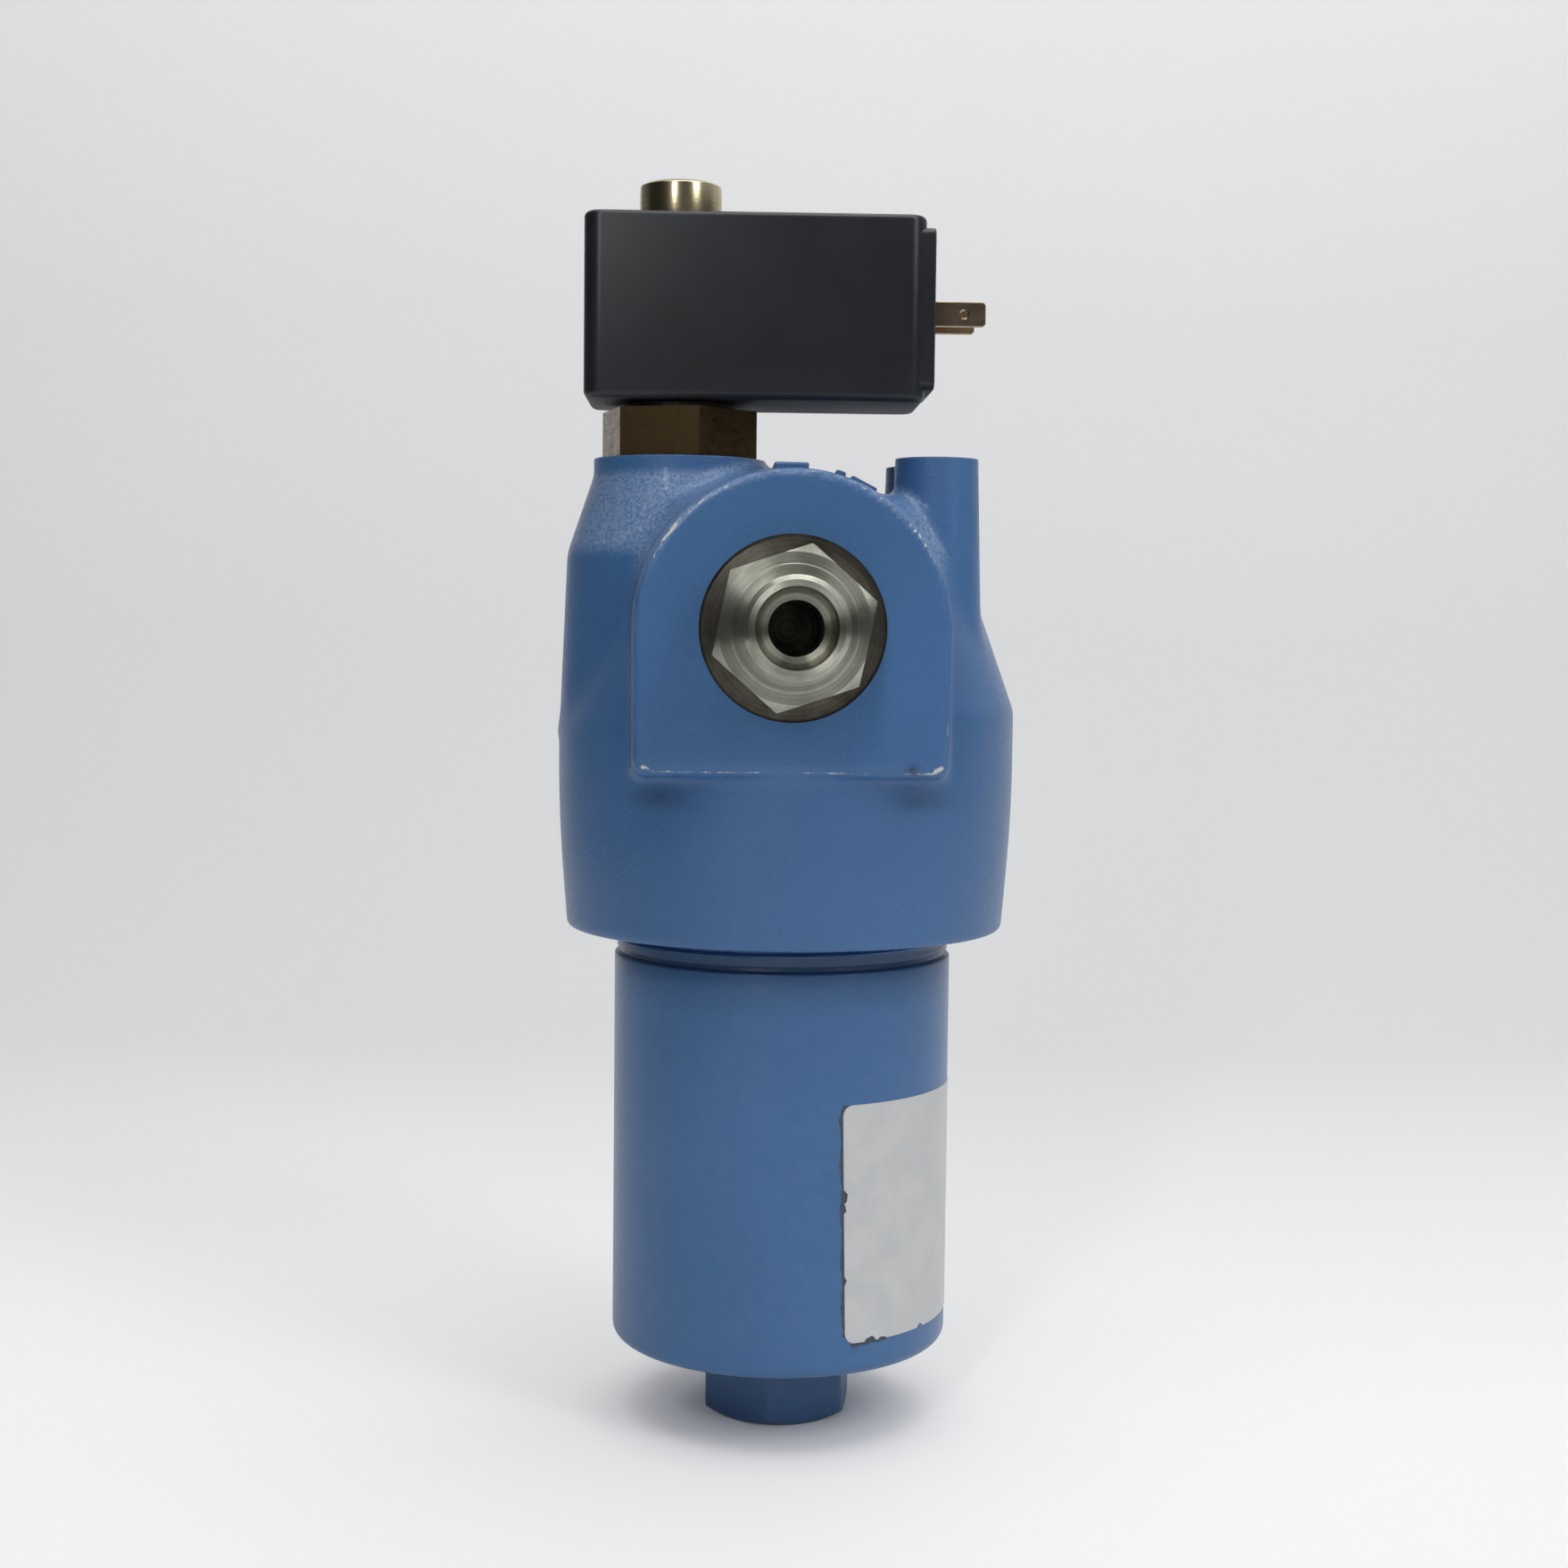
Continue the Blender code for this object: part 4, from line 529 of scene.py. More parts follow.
# %% Turned metal material
def turned_metal(name, colour, shade_colour, roughness, ring, axis="Z", centre=(0, 0, 0),
                 ring_height=0.012, stain=6.0, sweep=0.0):
    """Metal with rings of cutter marks round an axis, and a little staining."""
    # A place on the lathe is a distance from the axis and a distance along it.
    material, tree, shader, place = finish(name, colour, roughness, metallic=1.0)
    shifted = add(tree, "VectorMath", {0: place, 1: tuple(-c * MM for c in centre)}, operation="ADD")
    flatten = [1.0, 1.0, 1.0]
    flatten["XYZ".index(axis)] = 0.0
    across = add(tree, "VectorMath", {0: shifted, 1: tuple(flatten)}, operation="MULTIPLY")
    radius = add(tree, "VectorMath", {0: across}, operation="LENGTH").outputs["Value"]
    along = add(tree, "SeparateXYZ", {"Vector": shifted}).outputs[axis]
    lathe = add(tree, "CombineXYZ", {"X": radius, "Y": along})

    # Rings and stains together set the tone and the gloss, and the rings alone set the relief.
    rings = add(tree, "TexNoise", {"Vector": lathe, "Scale": grain(ring), "Detail": 3.0, "Roughness": 0.65})
    spots = add(tree, "TexNoise", {"Vector": place, "Scale": grain(stain), "Detail": 5.0, "Roughness": 0.6})
    both = add(tree, "Math", {0: rings, 1: spots}, operation="MULTIPLY")
    blend = add(tree, "MapRange", {"Value": both, "From Min": 0.16, "From Max": 0.36})
    tone = add(tree, "Mix", {0: blend, 6: linear(shade_colour), 7: linear(colour)}, data_type="RGBA")
    gloss = add(tree, "MapRange", {"Value": both, "From Min": 0.12, "From Max": 0.4,
                                   "To Min": roughness * 1.35, "To Max": roughness * 0.8})
    marks = add(tree, "Bump", {"Height": rings, "Strength": 0.5, "Distance": ring_height * MM})
    plug(tree, shader, {"Base Color": tone.outputs[2], "Roughness": gloss, "Normal": marks})

    # Grooves too fine to draw spread the highlight across them, into a bow tie on a flat face.
    if sweep:
        spindle = tuple(1.0 - share for share in flatten)
        groove = add(tree, "VectorMath", {0: across, 1: spindle}, operation="CROSS_PRODUCT")
        lay = add(tree, "VectorTransform", {"Vector": groove}, vector_type="VECTOR", convert_from="OBJECT",
                  convert_to="WORLD")
        plug(tree, shader, {"Anisotropic": sweep, "Anisotropic Rotation": 0.25, "Tangent": lay})
    return material


PORT_CENTRE = (0, 0, PORT_AXIS)
# Milled iron: dull and brownish, with a soft bow tie of light.
spot_face_steel = turned_metal("machined_iron", "#78736A", "#5A564D", 0.42, 0.6, "Y", PORT_CENTRE, sweep=0.85)
# Zinc plate: pale and faintly green, with a bright bow tie.
fitting_steel = turned_metal("zinc_plated_steel", "#BCBEB1", "#9FA093", 0.34, 0.45, "Y", PORT_CENTRE,
                             ring_height=0.02, sweep=1.0)
# Bored steel: warmer and smoother, so that the mouth of the fitting glints.
bored_steel = turned_metal("smooth_bored_steel", "#B6B199", "#8C8774", 0.28, 0.3, "Y", PORT_CENTRE)
# Oiled steel: darker, for the thread that stays inside the head.
thread_steel = turned_metal("oiled_turned_steel", "#8F8A80", "#6B665D", 0.34, 0.8)
print("four turned metals, from", spot_face_steel.name, "to", thread_steel.name)

# %% [markdown]
# ## Cast head
# A casting has no sharp inside corners: metal flows in with a fillet wherever two forms meet.
# Booleans would leave hard seams, so the casting is described as a distance field instead. Each
# form says how far a point lies outside it, and a soft minimum joins the forms with a fillet. The
# surface where the distance is zero is then meshed and drawn exactly onto the field. Machined
# faces and bores are cut afterwards, sharp, as on the real part.

# %% Sizes of the casting
BOSS_TOP = MOUNTS["mounting_boss_front"].z
PAD_FACE = abs(MOUNTS["inlet_pad_face"].y)
SPOT_FACE = MOUNTS["outlet_spot_face"].y
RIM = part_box("filter_head")[0].z / MM + 0.6
SKIRT_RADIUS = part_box("filter_head")[1].x / MM
INDICATOR_X = sum(corner.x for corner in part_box("retaining_nut")) / 2 / MM
MACHINING_STOCK = 1.5
print("casting from", round(RIM, 1), "to", round(BOSS_TOP, 1), "mm")


# %% Joining forms
def join(first, second, fillet):
    """Soft minimum: both forms, with a fillet of about this size between them."""
    share = np.maximum(fillet - np.abs(first - second), 0) / fillet
    return np.minimum(first, second) - share * share * fillet / 4


def meet(first, second, rounding):
    """Soft maximum: what both forms share, with a rounded edge."""
    return -join(-first, -second, rounding)


def beyond(x, y, start, end):
    """Signed distance from the line start to end, positive on its right."""
    along = Vector(end) - Vector(start)
    return ((x - start[0]) * along.y - (y - start[1]) * along.x) / along.length


print("where two forms touch, a fillet of 4 mm adds", -join(0.0, 0.0, 4.0), "mm")

# %% Skirt
RIM_RADIUS = 42.65
RIM_EDGE = 1.2
SKIRT_SHIFT = 0.27
TAPER_TOP = RIM + 22.1
TAPER_BLEND = 0.9
SHOULDER = 139.5
SHOULDER_ANGLE = math.radians(19.6)
SHOULDER_BLEND = 0.4
LEFT_DROP = 5.0
CROWN = BOSS_TOP - 7
CROWN_BLEND = 5.3


def skirt_field(x, y, z):
    """Round body, cast a little off the bored axis: taper up from the rim, cylinder, conical shoulder."""
    r = np.hypot(x - SKIRT_SHIFT, y)
    taper = beyond(r, z, (RIM_RADIUS, RIM), (SKIRT_RADIUS, TAPER_TOP))
    body = meet(taper, r - SKIRT_RADIUS, TAPER_BLEND)
    height = z - SHOULDER + LEFT_DROP * np.clip(-x / SKIRT_RADIUS, 0, 1)
    slope = (r - SKIRT_RADIUS) * math.cos(SHOULDER_ANGLE) + height * math.sin(SHOULDER_ANGLE)
    body = meet(body, slope, SHOULDER_BLEND)
    body = meet(body, z - CROWN, CROWN_BLEND)
    return meet(body, RIM - z, RIM_EDGE)


print("skirt", round(2 * SKIRT_RADIUS, 1), "mm across")

# %% Port barrel
PAD_RADIUS = 28.2
PAD_DROP = 26.4
PAD_CORNER = 3
PAD_EDGE, PAD_LOWER_EDGE = 1.3, 2.2
EDGE_GROWS_FROM, EDGE_GROWS_OVER = PORT_AXIS - 18, 6
TUNNEL_DRAFT = 2.8


def pad_outline(x, y, z):
    """Arched outline of the port barrel, which swells towards the parting plane in the middle."""
    swell = TUNNEL_DRAFT * (1 - np.abs(y) / PAD_FACE)
    radius = PAD_RADIUS + swell
    rise = np.maximum(z - PORT_AXIS, 0)
    return meet(np.hypot(x, rise) - radius, PORT_AXIS - PAD_DROP - swell - z, PAD_CORNER)


def pad_edge(z):
    """Rounding of the pads' edge, larger along the lower side."""
    low = np.clip((EDGE_GROWS_FROM - z) / EDGE_GROWS_OVER, 0, 1)
    return PAD_EDGE + (PAD_LOWER_EDGE - PAD_EDGE) * low


def barrel_field(x, y, z):
    """Port barrel with its two flat pads."""
    return meet(pad_outline(x, y, z), np.abs(y) - PAD_FACE, pad_edge(z))


print("pads", round(2 * PAD_FACE, 1), "mm apart")

# %% Column and bosses
COLUMN_RADIUS = 22.95
COLUMN_FOOT = 134
COLUMN_BEND = (21.55, BOSS_TOP - 18.2)
INDICATOR_BOSS = (16.5, BOSS_TOP - 3.2)
BOSS_RADIUS = 7.9
BOSS_FOOT_RADIUS = 9.1
BOSS_FOOT = BOSS_TOP - 40
BOSS_X = 28.05
BOSS_Y = 12
BEND_EDGE, LEDGE_EDGE, FOOT_EDGE, LEDGE_FILLET = 0.5, 1, 2, 0.6
COLUMN_FILLET, BOSS_FILLET, SKIRT_FILLET = 3.5, 4, 1.6


def column_field(x, y, z):
    """Indicator column on the left, which slopes in to a short round boss."""
    r = np.hypot(x - INDICATOR_X, y)
    side = beyond(r, z, (COLUMN_RADIUS, COLUMN_FOOT), COLUMN_BEND)
    column = meet(side, beyond(r, z, COLUMN_BEND, INDICATOR_BOSS), BEND_EDGE)
    column = meet(meet(column, z - INDICATOR_BOSS[1], LEDGE_EDGE), COLUMN_FOOT - z, FOOT_EDGE)
    boss = np.maximum(r - INDICATOR_BOSS[0], z - BOSS_TOP - MACHINING_STOCK)
    return join(column, np.maximum(boss, COLUMN_FOOT - z), LEDGE_FILLET)


def boss_field(x, y, z):
    """The pair of mounting bosses on the right."""
    r = np.hypot(x - BOSS_X, np.abs(y) - BOSS_Y)
    side = beyond(r, z, (BOSS_FOOT_RADIUS, BOSS_FOOT), (BOSS_RADIUS, BOSS_TOP))
    return np.maximum(np.maximum(side, z - BOSS_TOP - MACHINING_STOCK), BOSS_FOOT - z)


def casting_field(points):
    """Distance of points outside the whole casting, in millimetres."""
    x, y, z = np.moveaxis(points, -1, 0)
    upper = join(barrel_field(x, y, z), column_field(x, y, z), COLUMN_FILLET)
    upper = join(upper, boss_field(x, y, z), BOSS_FILLET)
    return join(skirt_field(x, y, z), upper, SKIRT_FILLET)


print("field at the middle:", round(float(casting_field(np.array([0, 0, PORT_AXIS]))), 1), "mm")

# %% Mesh the field
NET_SPACING = 0.9
NET_MARGIN = 2.2
DRAW_STEPS = 6
SLOPE_STEP = 0.05
FLATTEST = 0.2


def surface_net(field, low, high, spacing):
    """Points and quads where a field changes sign, one point in each crossed cell."""
    ticks = [np.arange(a, b + spacing, spacing) for a, b in zip(low, high)]
    inside = field(np.stack(np.meshgrid(*ticks, indexing="ij"), -1)) < 0
    count = np.zeros(np.array(inside.shape) - 1, int)
    for i in (0, 1):
        for j in (0, 1):
            for k in (0, 1):
                count += inside[i:i - 1 or None, j:j - 1 or None, k:k - 1 or None]
    crossed = (count > 0) & (count < 8)
    number = np.full(crossed.shape, -1)
    number[crossed] = np.arange(crossed.sum())
    points = (np.argwhere(crossed) + 0.5) * spacing + np.array([t[0] for t in ticks])
    quads = []
    for axis in range(3):
        states = np.moveaxis(inside, axis, 0)
        cells = np.moveaxis(number, axis, 0)
        i, j, k = np.nonzero(states[:-1, 1:-1, 1:-1] != states[1:, 1:-1, 1:-1])
        quads.append(np.stack([cells[i, j, k], cells[i, j + 1, k], cells[i, j + 1, k + 1],
                               cells[i, j, k + 1]], 1))
    return points, np.concatenate(quads)


def draw_onto(field, points):
    """Move points along the field's slope until they lie on its surface."""
    steps = np.eye(3) * SLOPE_STEP
    for _ in range(DRAW_STEPS):
        slope = np.stack([field(points + s) - field(points - s) for s in steps], -1) / (2 * SLOPE_STEP)
        reach = field(points) / np.maximum((slope * slope).sum(-1), FLATTEST)
        points = points - np.clip(reach, -NET_SPACING, NET_SPACING)[:, None] * slope
    return points


low = np.array([-SKIRT_RADIUS, -PAD_FACE, RIM]) - NET_MARGIN
high = np.array([SKIRT_RADIUS, PAD_FACE, BOSS_TOP + MACHINING_STOCK]) + NET_MARGIN
points, quads = surface_net(casting_field, low, high, NET_SPACING)
head = solid("cast_head", draw_onto(casting_field, points), quads.tolist())
print("casting of", len(quads), "quads")

# %% [markdown]
# The bores below follow the oil: in through the front port, down beside the spigot, round the
# element, up through the spigot and out at the back. The bypass valve and the indicator have
# their own bores. The back port stays open, so its pipe thread is cut as a thread.

# %% Bores of the head
OVERCUT = 2
LEAD_IN = 34.3
THREAD_BORE, THREAD_END = 32.8, 116.3
PILOT_BORE, PILOT_END = 30.3, 127.1
CHAMBER_RADIUS, CEILING = 28, 134
SPIGOT_RADIUS, SPIGOT_END = 12, 119.3
SPOT_RADIUS = 16.65
PORT_RADIUS = 10.5
PORT_THREAD_DEPTH, PORT_THREAD_PITCH = 1.16, 1.814
PORT_DEPTH = SPOT_FACE - 16
PASSAGE_RADIUS = 7.2
INLET_END = 13.5

cavity = [(0, RIM - OVERCUT), (LEAD_IN, RIM - OVERCUT)]
cavity += stepped(RIM + 0.5, (THREAD_BORE, THREAD_END), (PILOT_BORE, PILOT_END), (CHAMBER_RADIUS, CEILING),
                  (SPIGOT_RADIUS, SPIGOT_END))[1:]
inlet = stepped(INLET_END, (PASSAGE_RADIUS, PORT_DEPTH), (PORT_RADIUS, SPOT_FACE),
                (SPOT_RADIUS, PAD_FACE + OVERCUT))
outlet = [(0, 0), (PASSAGE_RADIUS, 0), (PASSAGE_RADIUS, PORT_DEPTH), (PORT_RADIUS - 1.2, PORT_DEPTH)]
outlet += thread_rows(PORT_RADIUS, PORT_THREAD_DEPTH, PORT_THREAD_PITCH, PORT_DEPTH + 0.2,
                      SPOT_FACE - 1.2, 96)
outlet += [(PORT_RADIUS + 0.9, SPOT_FACE), (SPOT_RADIUS, SPOT_FACE), (SPOT_RADIUS, PAD_FACE + OVERCUT),
           (0, PAD_FACE + OVERCUT)]
indicator_bore = stepped(132, (2, 150), (7.3, 158), (9, 167.7), (10.3, BOSS_TOP - 2.2),
                         (12.5, BOSS_TOP + OVERCUT))
bypass_bore = stepped(132, (7, 134.3), (7.7, 135.9), (7, 152))
print("ports", round(2 * PORT_RADIUS, 1), "mm across,", round(SPOT_FACE - PORT_DEPTH, 1), "mm deep")

# %% Machine the head
BYPASS_X = 20
ALONG_FRONT = at(z=PORT_AXIS) @ TO_FRONT
ALONG_BACK = at(z=PORT_AXIS) @ TO_BACK

cutters = [
    drill("facing_cut", 80, BOSS_TOP, BOSS_TOP + 20, at(), 24),
    spun("bowl_cavity", cavity, 128),
    spun("inlet_port", inlet, 128, place=ALONG_FRONT),
    spun("outlet_port", outlet, 96, place=ALONG_BACK),
    drill("inlet_drop", 6.5, CEILING - OVERCUT, PORT_AXIS, at(y=-20)),
    drill("spigot_bore", 7.5, SPIGOT_END - OVERCUT, PORT_AXIS + PASSAGE_RADIUS, at()),
    spun("indicator_bore", indicator_bore, 64, place=at(x=INDICATOR_X)),
    drill("clean_tap", 2, INDICATOR_X, 0, at(z=PORT_AXIS + 5) @ TO_RIGHT, 24),
    spun("bypass_bore", bypass_bore, 48, place=at(x=BYPASS_X)),
    drill("bypass_window", 3, 0, BYPASS_X, at(z=CEILING + 12) @ TO_RIGHT, 24),
]
for side in (-1, 1):
    cutters.append(drill("mounting_hole", 2.5, BOSS_TOP - 14, BOSS_TOP + OVERCUT,
                         at(BOSS_X, side * BOSS_Y), 32))
combine(head, "DIFFERENCE", *cutters)
print("head after machining:", len(head.data.polygons), "faces")

# %% [markdown]
# The pads' edges are worn most at their lower corners and on the shoulders of the arch, where the
# chips also paint a highlight. Painted shade darkens the pocket under each pad, and soil sits in one
# casting pit. Dust lies on slopes above the port, with a painted sheen.

# %% Wear with painted highlight, soil, painted shade, and dust with painted sheen on the head
CLOSE = 0.1
WEAR_WIDTH = 0.5
WEAR_IN, WEAR_BACK = 0.5, 0.06
# The shoulders' share of wear also paints the highlight along the arch.
EDGE_WEAR, SHOULDER_WEAR_AND_HIGHLIGHT = 0.55, 0.3
SHOULDER_AT, SHOULDER_SPREAD = math.radians(46), math.radians(20)
LOWER_EDGE = PORT_AXIS - PAD_DROP + 2.5
LOWER_WEAR, CORNER_WEAR, CORNER_X = 0.85, 1.1, 24
POCKET = Vector((23.5, PORT_AXIS - PAD_DROP - 4.6))
POCKET_SIZE = Vector((5.0, 1.7))
PIT = np.array((21.4, -PAD_FACE, PORT_AXIS - 24.9))
PIT_SIZE = 0.9
# The pockets' grime is painted shade under the overhanging pad corners; the pit's is soil.
POCKET_SHADE, PIT_SOIL = 0.4, 0.9
# Dust, and the sheen it paints, grow with how far a face looks upward.
DUST_AND_SHEEN_ON_SLOPES = ((0.1, 0), (0.3, 1), (0.6, 0.6), (1, 0.35))
DUST_AND_SHEEN_FROM, DUST_AND_SHEEN_OVER = PORT_AXIS + 6, 10

corners = np.zeros(len(head.data.vertices) * 3, np.float32)
head.data.vertices.foreach_get("co", corners)
corners = corners.reshape(-1, 3) / MM
x, y, z = corners.T
edge = pad_edge(z)
to_edge = np.hypot(pad_outline(x, y, z) + WEAR_IN * edge, PAD_FACE - np.abs(y) - WEAR_BACK * edge)
around = np.arctan2(np.abs(x), z - PORT_AXIS)
share = EDGE_WEAR + SHOULDER_WEAR_AND_HIGHLIGHT * np.exp(-((around - SHOULDER_AT) / SHOULDER_SPREAD) ** 2)
share = np.where(z < LOWER_EDGE, np.where(np.abs(x) > CORNER_X, CORNER_WEAR, LOWER_WEAR), share)
pocket = ((np.abs(x) - POCKET.x) / POCKET_SIZE.x) ** 2 + ((z - POCKET.y) / POCKET_SIZE.y) ** 2
pit = ((corners - PIT) ** 2).sum(1) / PIT_SIZE ** 2
slope = np.array([vertex.normal.z for vertex in head.data.vertices])
dust_and_sheen = np.interp(slope, *zip(*DUST_AND_SHEEN_ON_SLOPES)) * np.clip((z - DUST_AND_SHEEN_FROM) / DUST_AND_SHEEN_OVER, 0, 1)
# These values paint a highlight on the shoulders, shade in the pockets and a sheen on the slopes, besides
# wear, soil and dust.
note(head, "wear_and_highlight", share * np.exp(-(to_edge / WEAR_WIDTH) ** 2))
note(head, "grime_and_shade", POCKET_SHADE * np.exp(-pocket) + PIT_SOIL * np.exp(-pit))
note(head, "machined", np.abs(y) > PAD_FACE - CLOSE)
note(head, "dust_and_sheen", dust_and_sheen)
print("dusty vertices:", int((dust_and_sheen > 0).sum()))

# %% Paint and bare faces of the head
CUT_DEPTH = -0.45

dress(head, cast_enamel, "head", "filter_head")
head.data.materials.append(spot_face_steel)
centres = np.array([face.center for face in head.data.polygons]) / MM
cut = (casting_field(centres) < CUT_DEPTH) & (centres[:, 2] < BOSS_TOP - CLOSE / 2)
head.data.polygons.foreach_set("material_index", cut.astype(np.int32))
print("bare faces:", int(cut.sum()))

# %% [markdown]
# ## Raised marks on the crown
# Such heads carry a raised arrow cast on the crown, from inlet to outlet, and small pads beside it
# for casting marks, left blank here. Each is a flat outline bent round the arch of the barrel and
# sunk into it, with the soft edges of a casting.

# %% Arrow and blank pads
MARK_HEIGHT = 1.5
MARK_BURIED = 3
MARK_EDGE = 0.5
ARROW_X = 0.3
ARROW_LENGTH = 34
ARROW_HEAD = (10, 9)
ARROW_SHAFT = 6.4
BLANK_PADS = (("narrow_blank_pad", 8.8, 10.8), ("wide_blank_pad", 11.8, 17.2))
BLANK_HALF = 10

half, shaft = ARROW_LENGTH / 2, ARROW_SHAFT / 2
wide, neck = ARROW_HEAD[0] / 2, half - ARROW_HEAD[1]
arrow = [(-shaft, -half), (shaft, -half), (shaft, neck), (wide, neck), (0, half), (-wide, neck),
         (-shaft, neck)]
marks = {"flow_arrow": [(ARROW_X + x, y) for x, y in arrow]}
for name, left, right in BLANK_PADS:
    marks[name] = [(left, -BLANK_HALF), (right, -BLANK_HALF), (right, BLANK_HALF), (left, BLANK_HALF)]
for name, outline in marks.items():
    mark = prism(name, outline, -MARK_BURIED, MARK_HEIGHT)
    for vertex in mark.data.vertices:
        across, along, lift = vertex.co / MM
        radius = PAD_RADIUS + TUNNEL_DRAFT * (1 - abs(along) / PAD_FACE)
        turn = across / radius
        vertex.co = Vector(((radius + lift) * math.sin(turn), along,
                            PORT_AXIS + (radius + lift) * math.cos(turn))) * MM
    softening = mark.modifiers.new("cast_edges", "BEVEL")
    softening.width = MARK_EDGE * MM
    softening.segments = 3
    dress(mark, cast_enamel, "head", None)

# %% [markdown]
# ## Bowl
# The bowl is a thick cup turned from steel bar. One row after another goes from the middle of the
# hexagon foot, up the outside, over the thread and the sealing pilot, and down the bore. On the
# foot the radius follows a hexagon, cut back by the turned chamfer; on the neck it follows the
# thread, two turns of which show below the head.

# %% Rows of the foot
BOWL_COLUMNS = 180
FOOT_FLAT = 13.5
FOOT_CORNER = 15.3
FOOT_CORNER_ANGLE = math.radians(22.2)
FOOT_HEIGHT = 15.3
FOOT_FILLET = 1
FOOT_CHAMFER_START = 12.77
CHAMFER_SLOPE = math.tan(math.radians(60))
CHAMFER_ROW = 0.14

turn = np.arange(BOWL_COLUMNS) * 2 * math.pi / BOWL_COLUMNS
facet = (turn % (math.pi / 3)) - math.pi / 6
hexagon = np.minimum(FOOT_FLAT / np.cos(facet), FOOT_CORNER)
foot_rows = [(0, 0), (FOOT_CHAMFER_START, 0)]
for step in range(1, 13):
    height = step * CHAMFER_ROW
    foot_rows.append((np.minimum(hexagon, FOOT_CHAMFER_START + height * CHAMFER_SLOPE), height))
foot_rows += [(hexagon, height) for height in (4, 8, FOOT_HEIGHT - FOOT_FILLET)]
for step in range(1, 5):
    lean = math.pi / 2 * step / 4
    foot_rows.append((hexagon + FOOT_FILLET * (1 - math.cos(lean)),
                      FOOT_HEIGHT - FOOT_FILLET * (1 - math.sin(lean))))
print("foot of", len(foot_rows), "rows")

# %% Rows of the wall, neck and bore
BOWL_RADIUS = 33
BOWL_EDGE = 2.5
BOWL_BORE = 25.5
BOWL_FLOOR = 23
BOWL_BORE_EDGE = 5
BOWL_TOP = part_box("filter_bowl")[1].z / MM
FOOT_RING = 20
WALL_HEIGHTS = (30, 45, 60, 75, 83, 88)
NECK_RELIEF = 92.0
NECK_EDGE = 0.4
RELIEF_STEPS = ((1.1, -0.1), (1.2, 0.5), (0.5, 0.9), (0.5, 1.5))
NECK_CREST, NECK_DEPTH, NECK_PITCH, NECK_FLANK = 32.5, 1.0, 2, 5.0
FRONT_GROOVE = 95.4
THREAD_TOP = 116
PILOT_RADIUS = 30
SEAL_LOW, SEAL_HIGH, SEAL_RADIUS = 119.7, 124.4, 27.6
TOP_CHAMFER = 0.8

# The groove seen in front, at a quarter turn before the right side, fixes the phase of the thread.
neck_phase = FRONT_GROOVE / NECK_PITCH - (1.5 * math.pi - FOOT_CORNER_ANGLE) / (2 * math.pi)
wall_rows = [(FOOT_RING, FOOT_HEIGHT)]
wall_rows += rounded((BOWL_RADIUS - BOWL_EDGE, FOOT_HEIGHT + BOWL_EDGE), BOWL_EDGE, -90, 0, 12)
wall_rows += [(BOWL_RADIUS, height) for height in WALL_HEIGHTS]
neck_rows = rounded((BOWL_RADIUS - NECK_EDGE, NECK_RELIEF - 2 * NECK_EDGE), NECK_EDGE, 0, 80, 4)
for inwards, height in RELIEF_STEPS:
    neck_rows.append((BOWL_RADIUS - inwards, NECK_RELIEF + height))
neck_rows += thread_rows(NECK_CREST, NECK_DEPTH, NECK_PITCH, NECK_RELIEF + 2, THREAD_TOP, BOWL_COLUMNS,
                         neck_phase, NECK_FLANK)
neck_rows += [(PILOT_RADIUS, THREAD_TOP), (PILOT_RADIUS, SEAL_LOW), (SEAL_RADIUS, SEAL_LOW),
              (SEAL_RADIUS, SEAL_HIGH), (PILOT_RADIUS, SEAL_HIGH), (PILOT_RADIUS, BOWL_TOP - TOP_CHAMFER),
              (PILOT_RADIUS - TOP_CHAMFER, BOWL_TOP), (BOWL_BORE, BOWL_TOP)]
inside_edge = (BOWL_BORE - BOWL_BORE_EDGE, BOWL_FLOOR + BOWL_BORE_EDGE)
bore_rows = rounded(inside_edge, BOWL_BORE_EDGE, 0, -90, 6) + [(0, BOWL_FLOOR)]
bowl = spun("turned_bowl", foot_rows + wall_rows + neck_rows + bore_rows, BOWL_COLUMNS, FOOT_CORNER_ANGLE)
print("bowl up to", round(BOWL_TOP, 1), "mm")

# %% Paint and painted shade on the bowl
PAINT_TOP = RIM + 0.8
# Painted shade: the foot is darkened under the bowl, and the neck under the head's rim, most in the relief
# groove.
PAINTED_SHADE_BY_HEIGHT = ((0, 0.5), (FOOT_HEIGHT, 0), (83, 0), (NECK_RELIEF - 1, 0.35), (NECK_RELIEF, 0.65),
          (NECK_RELIEF + 1.5, 0.55), (NECK_RELIEF + 2.4, 0.5), (NECK_RELIEF + 3, 0.1))

levels = np.array([vertex.co.z for vertex in bowl.data.vertices]) / MM
note(bowl, "grime_and_shade", np.interp(levels, *zip(*PAINTED_SHADE_BY_HEIGHT)))
dress(bowl, turned_enamel, "bowl", "filter_bowl")
bowl.data.materials.append(thread_steel)
for face in bowl.data.polygons:
    x, y, z = face.center / MM
    bored = z > BOWL_FLOOR - CLOSE and math.hypot(x, y) < BOWL_BORE + CLOSE
    face.material_index = int(z > PAINT_TOP or bored)

# %% [markdown]
# ## Label
# The bowl carries a foil label with rounded corners, here left bare. It is a thin sheet bent
# round the bowl on a grid of millimetres: across is distance round the bowl and up is height. A few
# creases raise it slightly, its edge has small bites, and a dark line of glue grime with painted
# shade runs along the left and lower edges.

